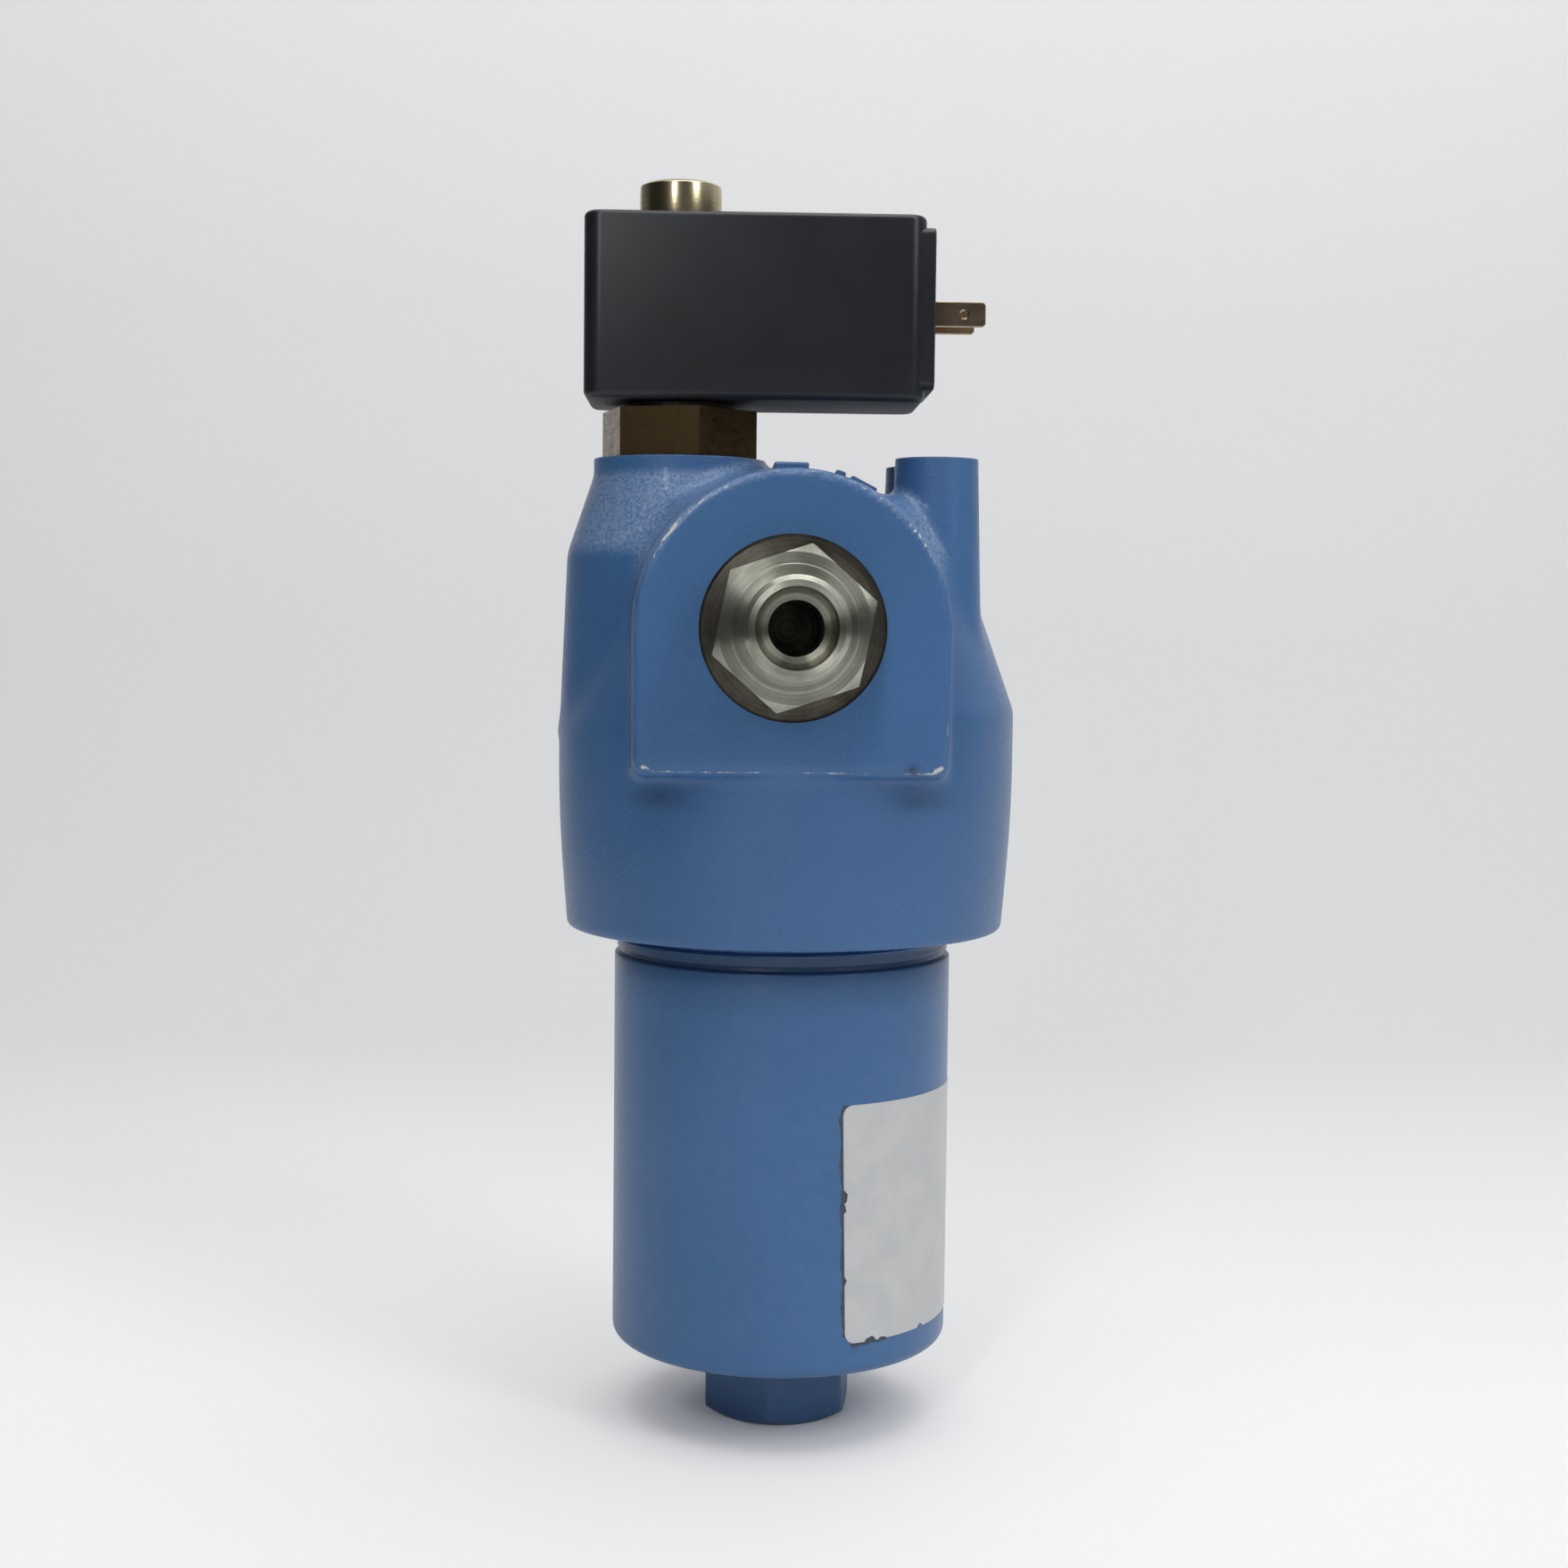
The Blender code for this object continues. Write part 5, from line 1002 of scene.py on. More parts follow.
# %% Form of the label
LABEL_START = math.radians(-71)
LABEL_WIDTH = 74
LABEL_LOW = 21.8
LABEL_HEIGHT = 45.1
LABEL_CORNER = 2.0
LABEL_LEAN = 0.022
CREASES = (((9.2, 26.5), (11.8, 22.0)), ((10.2, 31.0), (10.9, 27.6)), ((9.4, 8.6), (10.4, 1.2)))
CREASE_HEIGHT = 0.3
CREASE_WIDTH = 0.45
BITES = ((-0.3, 27.9, 1.3), (-0.2, 25.7, 0.9), (5.4, -0.3, 1.3), (8.2, -0.2, 0.9), (19.0, -0.2, 1.0),
         (-0.3, 12.0, 0.8))


def wrap(across, up, lift):
    """Place of a point of the sheet on the bowl."""
    angle = LABEL_START + (across + (LABEL_HEIGHT - up) * LABEL_LEAN) / BOWL_RADIUS
    radius = BOWL_RADIUS + lift
    return radius * np.cos(angle), radius * np.sin(angle), LABEL_LOW + up


def sheet_inset(across, up):
    """How far a point lies inside the label's rounded outline, less its bites."""
    dx = np.abs(across - LABEL_WIDTH / 2) - LABEL_WIDTH / 2 + LABEL_CORNER
    dy = np.abs(up - LABEL_HEIGHT / 2) - LABEL_HEIGHT / 2 + LABEL_CORNER
    outside = np.hypot(np.maximum(dx, 0), np.maximum(dy, 0)) + np.minimum(np.maximum(dx, dy), 0)
    inset = LABEL_CORNER - outside
    for x, y, size in BITES:
        inset = np.minimum(inset, np.hypot(across - x, up - y) - size)
    return inset


def crease_lift(across, up):
    """Height that the creases add."""
    lift = np.zeros_like(across)
    for (x0, y0), (x1, y1) in CREASES:
        share = ((across - x0) * (x1 - x0) + (up - y0) * (y1 - y0)) / ((x1 - x0) ** 2 + (y1 - y0) ** 2)
        share = np.clip(share, 0, 1)
        gap = np.hypot(across - x0 - share * (x1 - x0), up - y0 - share * (y1 - y0))
        lift = np.maximum(lift, CREASE_HEIGHT * np.exp(-(gap / CREASE_WIDTH) ** 2))
    return lift


print("label", LABEL_WIDTH, "by", LABEL_HEIGHT, "mm")

# %% Label sheet
LABEL_STEP = 0.5
LABEL_LIFT = 0.1
GLUE_LIFT = 0.01
PULL_STEPS = 3
NUDGE = 1e-3

columns = round(LABEL_WIDTH / LABEL_STEP) + 1
levels = round(LABEL_HEIGHT / LABEL_STEP) + 1
across, up = np.meshgrid(np.linspace(0, LABEL_WIDTH, columns), np.linspace(0, LABEL_HEIGHT, levels))
# Grid points outside the outline are pulled back onto it.
for _ in range(PULL_STEPS):
    pull = np.clip(-sheet_inset(across, up), 0, LABEL_STEP * 2)
    slope_x = (sheet_inset(across + NUDGE, up) - sheet_inset(across - NUDGE, up)) / (2 * NUDGE)
    slope_y = (sheet_inset(across, up + NUDGE) - sheet_inset(across, up - NUDGE)) / (2 * NUDGE)
    across, up = across + pull * slope_x, up + pull * slope_y
top = np.stack(wrap(across, up, LABEL_LIFT + crease_lift(across, up)), -1).reshape(-1, 3)
under = np.stack(wrap(across, up, GLUE_LIFT), -1).reshape(-1, 3)
total = len(top)
faces = []
for level in range(levels - 1):
    for column in range(columns - 1):
        a = level * columns + column
        faces.append((a, a + 1, a + columns + 1, a + columns))
        faces.append((a + total, a + columns + total, a + columns + 1 + total, a + 1 + total))
border = [*range(columns), *range(2 * columns - 1, total, columns),
          *range(total - 2, total - columns - 1, -1), *range(total - 2 * columns, 0, -columns)]
faces += [(a, b, b + total, a + total) for a, b in zip(border, border[1:] + border[:1])]
label = solid("bare_foil_label", np.concatenate([top, under]), faces)
print("label grid of", columns, "by", levels, "points")

# %% Foil
FOIL_COLOURS = ("#BDC0C2", "#C6C8C9")

# Lacquered foil: even pale grey, rubbed duller in patches, with a soft highlight.
foil, tree, shader, place = finish("aluminium_foil_film", "#C3C6C8", 0.38, Specular_IOR_Level=0.5,
                                   Coat_Weight=0.1)
rub = add(tree, "TexNoise", {"Vector": place, "Scale": grain(7), "Detail": 6.0, "Roughness": 0.6})
tone = add(tree, "ValToRGB", {"Fac": rub})
for stop, position, colour in zip(tone.color_ramp.elements, (0.32, 0.62), FOIL_COLOURS):
    stop.position = position
    stop.color = linear(colour)
gloss = add(tree, "MapRange", {"Value": rub, "To Min": 0.3, "To Max": 0.52})
speck = add(tree, "TexNoise", {"Vector": place, "Scale": grain(0.8), "Detail": 2.0})
dents = add(tree, "Bump", {"Height": speck, "Strength": 0.2, "Distance": 0.02 * MM})
plug(tree, shader, {"Base Color": tone, "Roughness": gloss, "Normal": dents})
dress(label, foil, "bowl", None)

# %% Grime and painted shade along the glue line
GRIME_AND_SHADE_TURN = 10
GRIME_AND_SHADE_COUNT = 150
GRIME_AND_SHADE_INSIDE = 1.3
GRIME_AND_SHADE_SUNK, GRIME_AND_SHADE_RAISED = -0.2, 0.03
GRIME_AND_SHADE_WIDTH, GRIME_AND_SHADE_THINNEST, GRIME_AND_SHADE_TAPER = 0.62, 0.12, 2
WAVES = ((0.16, 0.7, 0), (0.1, 2.3, 1), (0.06, 7.1, 2))
CORNER_SPAN, CORNER_CUT = 1.5, 0.9

path = np.linspace(0, LABEL_HEIGHT + GRIME_AND_SHADE_TURN, GRIME_AND_SHADE_COUNT)
ragged = GRIME_AND_SHADE_WIDTH + sum(size * np.sin(path * rate + phase) for size, rate, phase in WAVES)
taper = np.clip(np.minimum(path, path[-1] - path) / GRIME_AND_SHADE_TAPER, 0.1, 1)
ragged = np.clip(ragged, GRIME_AND_SHADE_THINNEST, None) * taper
down = np.clip(path - LABEL_HEIGHT, 0, None)
corner = CORNER_CUT * np.clip(1 - np.abs(path - LABEL_HEIGHT) / CORNER_SPAN, 0, 1)
above = LABEL_HEIGHT - path
outer = np.where(down > 0, down, -ragged) + corner, np.where(down > 0, -ragged, above) + corner
inner = np.maximum(down, GRIME_AND_SHADE_INSIDE), np.maximum(above, GRIME_AND_SHADE_INSIDE)
ring = ((outer, GRIME_AND_SHADE_SUNK), (outer, GRIME_AND_SHADE_RAISED), (inner, GRIME_AND_SHADE_RAISED), (inner, GRIME_AND_SHADE_SUNK))
points = np.stack([np.stack(wrap(*edge, lift), -1) for edge, lift in ring], 1).reshape(-1, 3)
faces = [(4 * i + k, 4 * i + (k + 1) % 4, 4 * i + 4 + (k + 1) % 4, 4 * i + 4 + k)
         for i in range(GRIME_AND_SHADE_COUNT - 1) for k in range(4)]
faces += [(0, 1, 2, 3), tuple(range(4 * GRIME_AND_SHADE_COUNT - 4, 4 * GRIME_AND_SHADE_COUNT))]
grime_and_shade = solid("label_grime_and_shade", points, faces)

# Dirt in glue, which also paints the shade along the label's edge: matt and nearly black, with paler crumbs.
dirt_and_shade, tree, shader, place = finish("dirt_and_shade_in_glue", "#343B44", 0.8)
crumbs = add(tree, "TexNoise", {"Vector": place, "Scale": grain(0.7), "Detail": 3.0})
tone = add(tree, "Mix", {0: crumbs, 6: linear("#2B343F"), 7: linear("#525D6B")}, data_type="RGBA")
plug(tree, shader, {"Base Color": tone.outputs[2]})
dress(grime_and_shade, dirt_and_shade, "bowl", None)

# %% [markdown]
# ## Tube fitting
# The fitting is turned from hexagon bar and zinc plated: a shank for the port, a sealing collar,
# the hexagon with its turned chamfer, a relief, an outside thread and a cone for the tube. Turned
# rows make all the round parts. The hexagon is a bar that shares its volume with a chamfer cone.


# %% Hexagon bar
CONE_SLACK = 0.2


def hexagon_bar(name, flat, corner_angle, bottom, top, chamfer, lower_chamfer, place):
    """Hexagon bar whose corners are turned off at 30 degrees at both ends."""
    corner = flat / math.cos(math.pi / 6)
    angles = [corner_angle + i * math.pi / 3 for i in range(6)]
    bar = prism(name, [(corner * math.cos(a), corner * math.sin(a)) for a in angles], bottom, top, place)
    wide = corner + CONE_SLACK
    cone = [(0, bottom), (wide - lower_chamfer * CHAMFER_SLOPE, bottom), (wide, bottom + lower_chamfer),
            (wide, top - chamfer), (wide - chamfer * CHAMFER_SLOPE, top), (0, top)]
    return combine(bar, "INTERSECT", spun(name + "_chamfer", cone, 128, place=place))


print("chamfers rise 1 mm in", round(CHAMFER_SLOPE, 2), "mm")

# %% Fitting in the inlet port
FITTING_PLACE = at(y=-SPOT_FACE, z=PORT_AXIS) @ TO_FRONT
FITTING_FLAT = 13
FITTING_CORNER_ANGLE = math.radians(18.5)
FITTING_CHAMFER, FITTING_LOWER_CHAMFER = 1.15, 0.4
FITTING_END = -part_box("port_adapter")[0].y / MM - SPOT_FACE
SHANK_END, SHANK_RADIUS = -13, 10.2
COLLAR_RADIUS, STEP_RADIUS, RELIEF_RADIUS = 12.7, 11.2, 7.8
HEX_BOTTOM, HEX_TOP = 2.7, 10.7
STEP_TOP, RELIEF_TOP = 11.7, 14.3
FITTING_CREST, FITTING_DEPTH, FITTING_PITCH = 9, 0.92, 1.5
TUBE_RADIUS, TUBE_BORE = 6, 4.8
CONE_MOUTH = 7.05
CONE_FOOT = FITTING_END - (CONE_MOUTH - TUBE_RADIUS) / math.tan(math.radians(12))
TUBE_STOP = CONE_FOOT - 0.4

turned_rows = [(0, SHANK_END), (SHANK_RADIUS - 0.9, SHANK_END), (SHANK_RADIUS, SHANK_END + 0.9),
               (SHANK_RADIUS, 2), (COLLAR_RADIUS - 0.2, 2), (COLLAR_RADIUS - 0.2, 0.3), (COLLAR_RADIUS, 0.5),
               (COLLAR_RADIUS, 3), (STEP_RADIUS, 3), (STEP_RADIUS, STEP_TOP - 0.3),
               (STEP_RADIUS - 0.1, STEP_TOP - 0.2), (RELIEF_RADIUS + 0.1, STEP_TOP),
               (RELIEF_RADIUS, STEP_TOP + 0.3), (RELIEF_RADIUS, RELIEF_TOP)]
turned_rows += thread_rows(FITTING_CREST, FITTING_DEPTH, FITTING_PITCH, RELIEF_TOP + 0.3,
                           FITTING_END - 0.9, 96)
turned_rows += [(FITTING_CREST - 0.85, FITTING_END), (0, FITTING_END)]
passage = stepped(SHANK_END - 1, (TUBE_BORE, TUBE_STOP), (TUBE_RADIUS, CONE_FOOT))[:-1]
passage += [(CONE_MOUTH + 0.21, FITTING_END + 1), (0, FITTING_END + 1)]
fitting = spun("tube_fitting", turned_rows, 96, place=FITTING_PLACE)
combine(fitting, "UNION", hexagon_bar("fitting_hexagon", FITTING_FLAT, FITTING_CORNER_ANGLE, HEX_BOTTOM,
                                      HEX_TOP, FITTING_CHAMFER, FITTING_LOWER_CHAMFER, FITTING_PLACE))
combine(fitting, "DIFFERENCE", spun("fitting_passage", passage, 96, place=FITTING_PLACE))
dress(fitting, fitting_steel, "head", "port_adapter")
fitting.data.materials.append(bored_steel)
# Faces of the passage look towards the axis, and get the smoother steel.
for face in fitting.data.polygons:
    across = Vector((face.center.x / MM, face.center.z / MM - PORT_AXIS))
    outwards = face.normal.x * across.x + face.normal.z * across.y
    face.material_index = int(across.length < CONE_MOUTH + CLOSE and outwards < -0.5 * across.length)

# %% [markdown]
# ## Brass indicator and nut
# The indicator's body is turned from brass bar: a grooved nose, a shank, the hexagon that a
# spanner holds, and a stem that passes through the housing to the round nut on top. The hexagon
# has gone dull and brown, while the nut is still bright.

# %% Indicator body
INDICATOR_PLACE = at(x=INDICATOR_X)
INDICATOR_FLAT = 13.5
INDICATOR_CORNER_ANGLE = math.radians(45)
INDICATOR_CHAMFER = 0.2
NOSE_LOW, NOSE_RADIUS = 152, 7
NOSE_GROOVE_LOW, NOSE_GROOVE_HIGH, NOSE_GROOVE_RADIUS = 153.6, 155.8, 5.4
SHANK_LOW, SHANK_CREST = 168, 10
SHANK_THREAD, STEM_THREAD = (0.92, 1.5), (0.6, 1.0)
HEX_LOW = BOSS_TOP + 0.3
HEX_HIGH = HEX_LOW + 9.1
STEM_RADIUS = 5
STEM_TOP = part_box("indicator_body")[1].z / MM

# Tarnished brass: brown, with dark stains and dull reflections.
hexagon_brass = turned_metal("tarnished_brass", "#8C7650", "#5C4B33", 0.22, 0.6, "Z", (INDICATOR_X, 0, 0),
                             stain=4.0)
body_rows = [(0, NOSE_LOW), (NOSE_RADIUS - 0.3, NOSE_LOW), (NOSE_RADIUS, NOSE_LOW + 0.3),
             (NOSE_RADIUS, NOSE_GROOVE_LOW), (NOSE_GROOVE_RADIUS, NOSE_GROOVE_LOW),
             (NOSE_GROOVE_RADIUS, NOSE_GROOVE_HIGH), (NOSE_RADIUS, NOSE_GROOVE_HIGH),
             (NOSE_RADIUS, SHANK_LOW)]
body_rows += thread_rows(SHANK_CREST, *SHANK_THREAD, SHANK_LOW, HEX_LOW - 0.6, 64)
body_rows += [(SHANK_CREST, HEX_LOW + 0.3), (STEM_RADIUS, HEX_LOW + 0.3), (STEM_RADIUS, STEM_TOP - 8)]
body_rows += thread_rows(STEM_RADIUS, *STEM_THREAD, STEM_TOP - 7.9, STEM_TOP - 0.5, 64)
body_rows += [(STEM_RADIUS - 0.5, STEM_TOP), (0, STEM_TOP)]
core_rows = stepped(NOSE_LOW - 1, (3.6, 180), (2.9, 214))
indicator = spun("brass_indicator", body_rows, 64, place=INDICATOR_PLACE)
combine(indicator, "UNION", hexagon_bar("indicator_hexagon", INDICATOR_FLAT, INDICATOR_CORNER_ANGLE, HEX_LOW,
                                        HEX_HIGH, INDICATOR_CHAMFER, INDICATOR_CHAMFER, INDICATOR_PLACE))
combine(indicator, "DIFFERENCE", spun("indicator_core", core_rows, 48, place=INDICATOR_PLACE),
        drill("cross_hole", 1.2, -8, 8, at(INDICATOR_X, 0, 165) @ TO_FRONT, 24))
dress(indicator, hexagon_brass, "head", "indicator_body")

# %% Round nut
NUT_LOW, NUT_HIGH = (corner.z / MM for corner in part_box("retaining_nut"))
NUT_RADIUS = 7.9
NUT_BORE = 5.3
NUT_ROOF = NUT_HIGH - 3.1
NUT_FOOT_EDGE, NUT_EDGE = 0.35, 0.3
NUT_CHAMFER_IN, NUT_CHAMFER_DOWN = 0.9, 0.45
SLOT_LENGTH, SLOT_WIDTH, SLOT_DEPTH = 30, 1.6, 1.4

# Bright brass: pale gold, smooth enough to mirror both upright lamps as bands.
nut_brass = turned_metal("bright_brass", "#DCD1B0", "#C0B28C", 0.2, 0.5, "Z", (INDICATOR_X, 0, 0))
foot = NUT_RADIUS - NUT_FOOT_EDGE
edge, shoulder = NUT_RADIUS - NUT_EDGE, NUT_HIGH - NUT_EDGE
nut_rows = [(0, NUT_ROOF), (NUT_BORE, NUT_ROOF), (NUT_BORE, NUT_LOW), (foot, NUT_LOW)]
nut_rows += rounded((foot, NUT_LOW + NUT_FOOT_EDGE), NUT_FOOT_EDGE, -60, 0, 3)
nut_rows += rounded((edge, shoulder - NUT_CHAMFER_DOWN), NUT_EDGE, 0, 55, 3)
nut_rows += rounded((edge - NUT_CHAMFER_IN, shoulder), NUT_EDGE, 60, 90, 3)
nut_rows += [(0, NUT_HIGH)]
nut = spun("brass_nut", nut_rows, 96, place=INDICATOR_PLACE)
long, wide = SLOT_LENGTH / 2, SLOT_WIDTH / 2
slot_outline = [(-long, -wide), (long, -wide), (long, wide), (-long, wide)]
combine(nut, "DIFFERENCE", prism("driver_slot", slot_outline, NUT_HIGH - SLOT_DEPTH, NUT_HIGH + 1,
                                 INDICATOR_PLACE))
dress(nut, nut_brass, "head", "retaining_nut")

# %% [markdown]
# ## Switch housing and connector
# The housing is moulded in black glass-filled thermoplastic, with a fine matt grain and all edges
# rounded. A box with bevelled edges is bored for the stem and opened at the connector end. The
# connector base and its two blades are made again in the places of the CAD pieces, with small
# edge radii that catch the light.

# %% Moulded plastic and tinned contacts
PLASTIC_COLOURS = ("#1A1C20", "#212429")

# Glass-filled nylon: near black, with a satin gloss that the grain breaks up, duller underneath.
plastic, tree, shader, place = finish("black_glass_filled_nylon", "#1D1F23", 0.32, Specular_IOR_Level=0.4)
flow = add(tree, "TexNoise", {"Vector": place, "Scale": grain(14), "Detail": 4.0})
tone = add(tree, "ValToRGB", {"Fac": flow})
for stop, position, colour in zip(tone.color_ramp.elements, (0.3, 0.7), PLASTIC_COLOURS):
    stop.position = position
    stop.color = linear(colour)
leather = add(tree, "TexNoise", {"Vector": place, "Scale": grain(0.5), "Detail": 2.0})
gloss = add(tree, "MapRange", {"Value": leather, "To Min": 0.26, "To Max": 0.38})
facing = add(tree, "SeparateXYZ", {"Vector": add(tree, "NewGeometry").outputs["Normal"]}).outputs["Z"]
below = add(tree, "MapRange", {"Value": facing, "From Min": -0.95, "From Max": -0.5, "To Min": 0.3,
                               "To Max": 0.0})
matt = add(tree, "Math", {0: gloss, 1: below}, operation="ADD")
pores = add(tree, "Bump", {"Height": leather, "Strength": 0.25, "Distance": 0.02 * MM})
plug(tree, shader, {"Base Color": tone, "Roughness": matt, "Normal": pores})

# Tinned brass: a warm silver, smooth and nearly without marks.
contact_metal = turned_metal("tinned_brass", "#C0AC94", "#A8947C", 0.2, 3.0, "X", ring_height=0.004,
                             stain=3.0)
print("finishes:", plastic.name, "and", contact_metal.name)

# %% Housing box
# The photograph shows the housing a little shorter than the CAD model's at both ends.
TRIM_LEFT, TRIM_RIGHT = 0.65, 0.9
HOUSING_LOW, HOUSING_HIGH = (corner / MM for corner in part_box("switch_housing"))
HOUSING_LOW.x += TRIM_LEFT
HOUSING_HIGH.x -= TRIM_RIGHT
SIDE_EDGE, TOP_EDGE, BOTTOM_EDGE = 3.4, 1.2, 1.4

bm = bmesh.new()
bmesh.ops.create_cube(bm, size=1)
bmesh.ops.scale(bm, vec=HOUSING_HIGH - HOUSING_LOW, verts=bm.verts)
bmesh.ops.translate(bm, vec=(HOUSING_HIGH + HOUSING_LOW) / 2, verts=bm.verts)
upright = [edge for edge in bm.edges if abs(edge.verts[0].co.z - edge.verts[1].co.z) > 1]
bmesh.ops.bevel(bm, geom=upright, offset=SIDE_EDGE, segments=8, profile=0.5, affect="EDGES")
for level, radius in ((HOUSING_HIGH.z, TOP_EDGE), (HOUSING_LOW.z, BOTTOM_EDGE)):
    loop = [edge for edge in bm.edges if all(abs(v.co.z - level) < 1e-3 for v in edge.verts)]
    bmesh.ops.bevel(bm, geom=loop, offset=radius, segments=6, profile=0.5, affect="EDGES")
bm.verts.ensure_lookup_table()
sides = [[v.index for v in face.verts] for face in bm.faces]
housing = solid("moulded_housing", [v.co[:] for v in bm.verts], sides)
bm.free()
print("housing", round((HOUSING_HIGH - HOUSING_LOW).x, 1), "mm long")

# %% Bore and pocket of the housing
STEM_CLEARANCE = 5.3
GASKET_RADIUS, GASKET_DEPTH = 6.9, 1.05
POCKET_INSET = 4
POCKET_START = INDICATOR_X + 8

low, high = HOUSING_LOW, HOUSING_HIGH
stem_rows = stepped(low.z - 1, (STEM_CLEARANCE, high.z - GASKET_DEPTH), (GASKET_RADIUS, high.z + 1))
front, back = low.y + POCKET_INSET, high.y - POCKET_INSET
opening = [(POCKET_START, front), (high.x + 1, front), (high.x + 1, back), (POCKET_START, back)]
combine(housing, "DIFFERENCE", spun("stem_bore", stem_rows, 64, place=INDICATOR_PLACE),
        prism("housing_pocket", opening, low.z + POCKET_INSET, high.z - POCKET_INSET))
dress(housing, plastic, "switch", "switch_housing")

# %% [markdown]
# The connector base closes the housing's end: a flat plate with rounded corners, let a little way
# into the rounded end of the housing. Two stamped blades stand in it, each with a punched hole.
# The rear blade is a little shorter than the front one.

# %% Connector base
PLATE_TRIM = 1.05
PLATE_LOW, PLATE_HIGH = (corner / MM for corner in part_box("connector_plate"))
PLATE_LOW.x -= TRIM_RIGHT
PLATE_HIGH.x -= PLATE_TRIM
PLATE_LET_IN = 1.2
PLATE_CORNER = 1.6
PLATE_EDGE = 0.35


def edged(thing, width):
    """Round a piece's sharp edges by a small bevel."""
    bevel = thing.modifiers.new("edge_radius", "BEVEL")
    bevel.width = width * MM
    bevel.segments = 2
    bevel.limit_method = "ANGLE"
    bevel.angle_limit = math.radians(40)
    bevel.harden_normals = True
    return thing


middle = (PLATE_LOW + PLATE_HIGH) / 2
across = (PLATE_HIGH - PLATE_LOW).y / 2 - PLATE_CORNER
up = (PLATE_HIGH - PLATE_LOW).z / 2 - PLATE_CORNER
plate_outline = []
for start, side_y, side_z in ((0, 1, 1), (90, -1, 1), (180, -1, -1), (270, 1, -1)):
    plate_outline += [(-(up * side_z + z), across * side_y + y)
                      for y, z in rounded((0, 0), PLATE_CORNER, start, start + 90, 5)]
plate = prism("connector_base", plate_outline, PLATE_LOW.x - PLATE_LET_IN, PLATE_HIGH.x,
              at(y=middle.y, z=middle.z) @ TO_RIGHT)
dress(edged(plate, PLATE_EDGE), plastic, "switch", "connector_plate")

# %% Contact blades
BLADES = (("contact_blade_front", "front_blade", 0.0), ("contact_blade_rear", "rear_blade", 1.0))
BLADE_THICKNESS = 0.8
BLADE_HEIGHT = 4.8
BLADE_REACH = 0.3
BLADE_TIP = 0.5
BLADE_EDGE = 0.2
BLADE_HOLE, HOLE_FLARE = 0.7, 0.3
HOLE_FROM_TIP = 4.2

# The hole's cutter flares on both sides, so that the hole's edges are broken like the blade's own.
thick, half = BLADE_THICKNESS / 2, BLADE_HEIGHT / 2
wide_hole = BLADE_HOLE + HOLE_FLARE
hole_rows = [(0, -1), (wide_hole, -1), (wide_hole, -thick - 0.05), (BLADE_HOLE, BLADE_EDGE - thick)]
hole_rows += [(radius, -height) for radius, height in reversed(hole_rows)]
for node, name, short in BLADES:
    blade_low, blade_high = (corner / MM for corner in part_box(node))
    tip = blade_high.x + BLADE_REACH - short
    outline = [(blade_low.x, -half), (tip - BLADE_TIP, -half), (tip, BLADE_TIP - half),
               (tip, half - BLADE_TIP), (tip - BLADE_TIP, half), (blade_low.x, half)]
    place = at(y=(blade_low.y + blade_high.y) / 2, z=middle.z) @ TO_FRONT
    blade = edged(prism(name, outline, -thick, thick, place), BLADE_EDGE)
    combine(blade, "DIFFERENCE", spun("punched_hole", hole_rows, 32, place=place @ at(x=tip - HOLE_FROM_TIP)))
    dress(blade, contact_metal, "switch", node)

# %% [markdown]
# ## Springs
# The two springs sit out of sight, but they shorten when their valve moves. Each is a wire swept
# along a helix with closed ends.

# %% Springs
WIRE_SIDES = 10
TURN_STEPS = 20
SPRINGS = (("indicator_spring", "piston_travel", 2.75, 0.7, 6, INDICATOR_X),
           ("bypass_spring", "bypass_lift", 3.8, 1.0, 4, BYPASS_X))


def coil(name, radius, wire, bottom, top, turns, place):
    """Compression spring with one closed turn at each end."""
    around = np.arange(WIRE_SIDES) * 2 * math.pi / WIRE_SIDES
    closed = wire * 1.05
    low, high = bottom + wire / 2, top - wire / 2
    points = []
    for turn in np.linspace(0, turns + 2, (turns + 2) * TURN_STEPS + 1):
        live = np.clip(turn - 1, 0, turns) / turns
        dead = min(turn, 1) + max(turn - 1 - turns, 0)
        height = low + dead * closed + live * (high - low - 2 * closed)
        angle = turn * 2 * math.pi
        reach = radius + np.cos(around) * wire / 2
        rise = height + np.sin(around) * wire / 2
        points += list(zip(reach * math.cos(angle), reach * math.sin(angle), rise))
    first = range(0, len(points) - WIRE_SIDES, WIRE_SIDES)
    pairs = [(side, (side + 1) % WIRE_SIDES) for side in range(WIRE_SIDES)]
    faces = [(f + a, f + b, f + WIRE_SIDES + b, f + WIRE_SIDES + a) for f in first for a, b in pairs]
    faces += [tuple(range(WIRE_SIDES)), tuple(range(len(points) - WIRE_SIDES, len(points)))]
    return solid(name, points, faces, place)


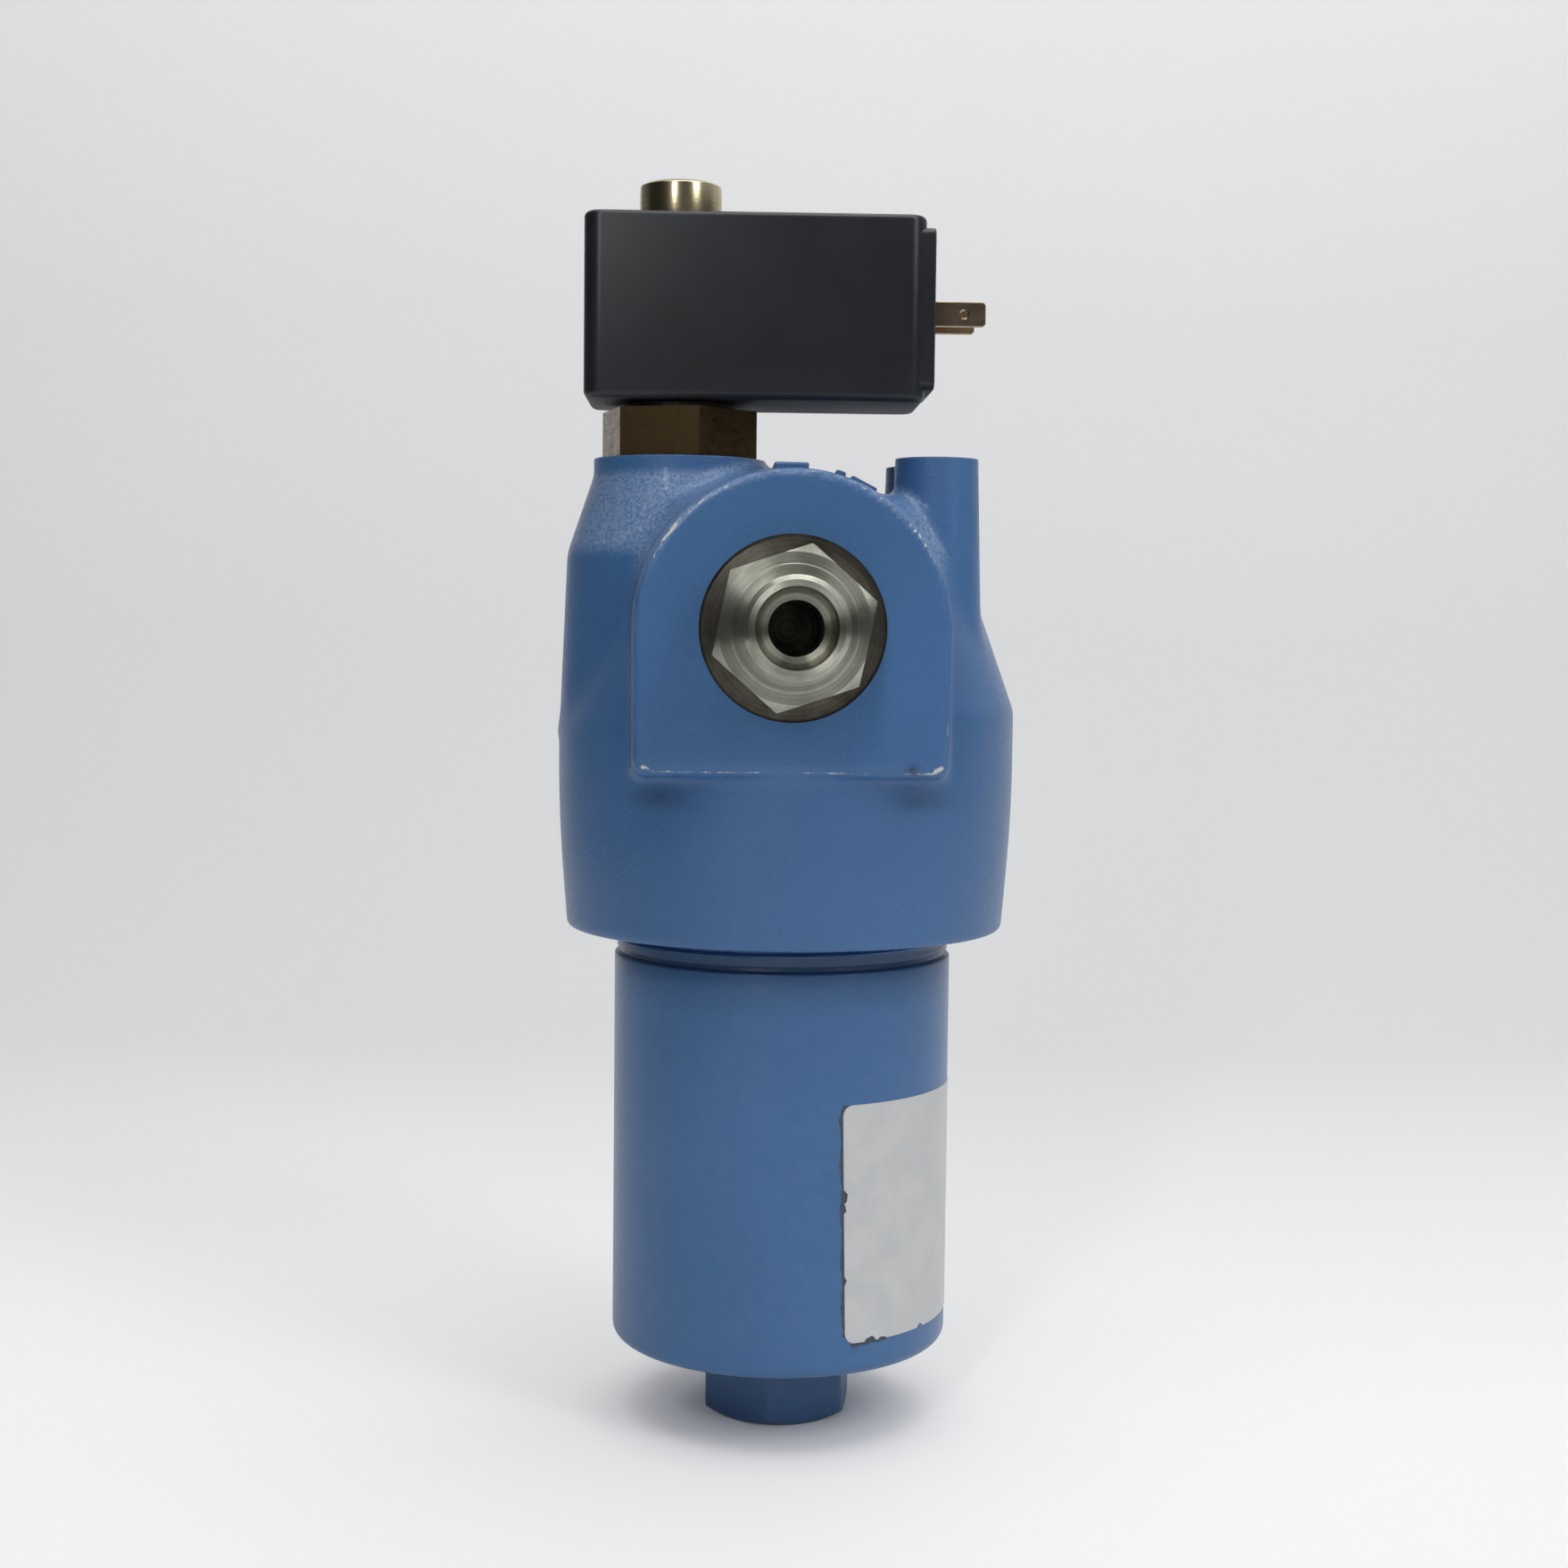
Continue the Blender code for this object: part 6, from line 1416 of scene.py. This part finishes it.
# Drawn wire: grey and half bright, faintly streaked.
spring_wire = turned_metal("drawn_spring_steel", "#96979A", "#6B6C70", 0.32, 0.4)
for node, joint, radius, wire, turns, x in SPRINGS:
    bottom, top = (corner.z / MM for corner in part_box(node))
    spring = coil(node + "_wire", radius, wire, bottom, top, turns, at(x=x))
    dress(spring, spring_wire, "head", node)
    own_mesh(spring)

# %% [markdown]
# ## Pieces inside
# The element, the valve parts and the seals keep their CAD shapes. Each still gets the finish of
# its real material: pressed tinplate, pleated glass fibre, moulded rubber, PTFE, ferrite and glass.


# %% Finishes of the inner pieces
def moulded(name, colour, darker, roughness, feature, height):
    """Non-metal with a fine surface texture and a slight change of tone."""
    material, tree, shader, place = finish(name, colour, roughness)
    noise = add(tree, "TexNoise", {"Vector": place, "Scale": grain(feature), "Detail": 4.0})
    tone = add(tree, "Mix", {0: noise, 6: linear(darker), 7: linear(colour)}, data_type="RGBA")
    bump = add(tree, "Bump", {"Height": noise, "Strength": 0.3, "Distance": height * MM})
    plug(tree, shader, {"Base Color": tone.outputs[2], "Normal": bump})
    return material


# Rubber is dull black, PTFE waxy white, glass fibre a matt felt, ferrite charcoal, and glass shiny.
inner = {
    "nitrile_rubber": moulded("moulded_nitrile_rubber", "#1B1C1E", "#121314", 0.55, 0.6, 0.02),
    "ptfe": moulded("skived_ptfe", "#E8E5DC", "#DAD6CB", 0.45, 1.5, 0.02),
    "glass_fibre_medium": moulded("pleated_glass_fibre", "#EFEDE3", "#DBD8CB", 0.9, 0.7, 0.08),
    "magnet_ferrite": moulded("sintered_ferrite", "#3D3D40", "#2E2E31", 0.5, 0.5, 0.02),
    "reed_glass": moulded("reed_switch_glass", "#A9C3B0", "#94B09C", 0.08, 3.0, 0.002),
    "tinplate": turned_metal("pressed_tinplate", "#C9CACB", "#A7A8AA", 0.34, 1.2),
    "plated_steel": turned_metal("plated_valve_steel", "#BDBBB4", "#96948C", 0.3, 0.5),
    "spring_steel": spring_wire,
}
slots = {part["node"]: part["material_slot"] for part in frame["record"]["subparts"]}
for name, node in frame["nodes"].items():
    if node.hide_render:
        continue
    node.data.materials.clear()
    node.data.materials.append(inner[slots[name]])
    print(name, "in", inner[slots[name]].name)
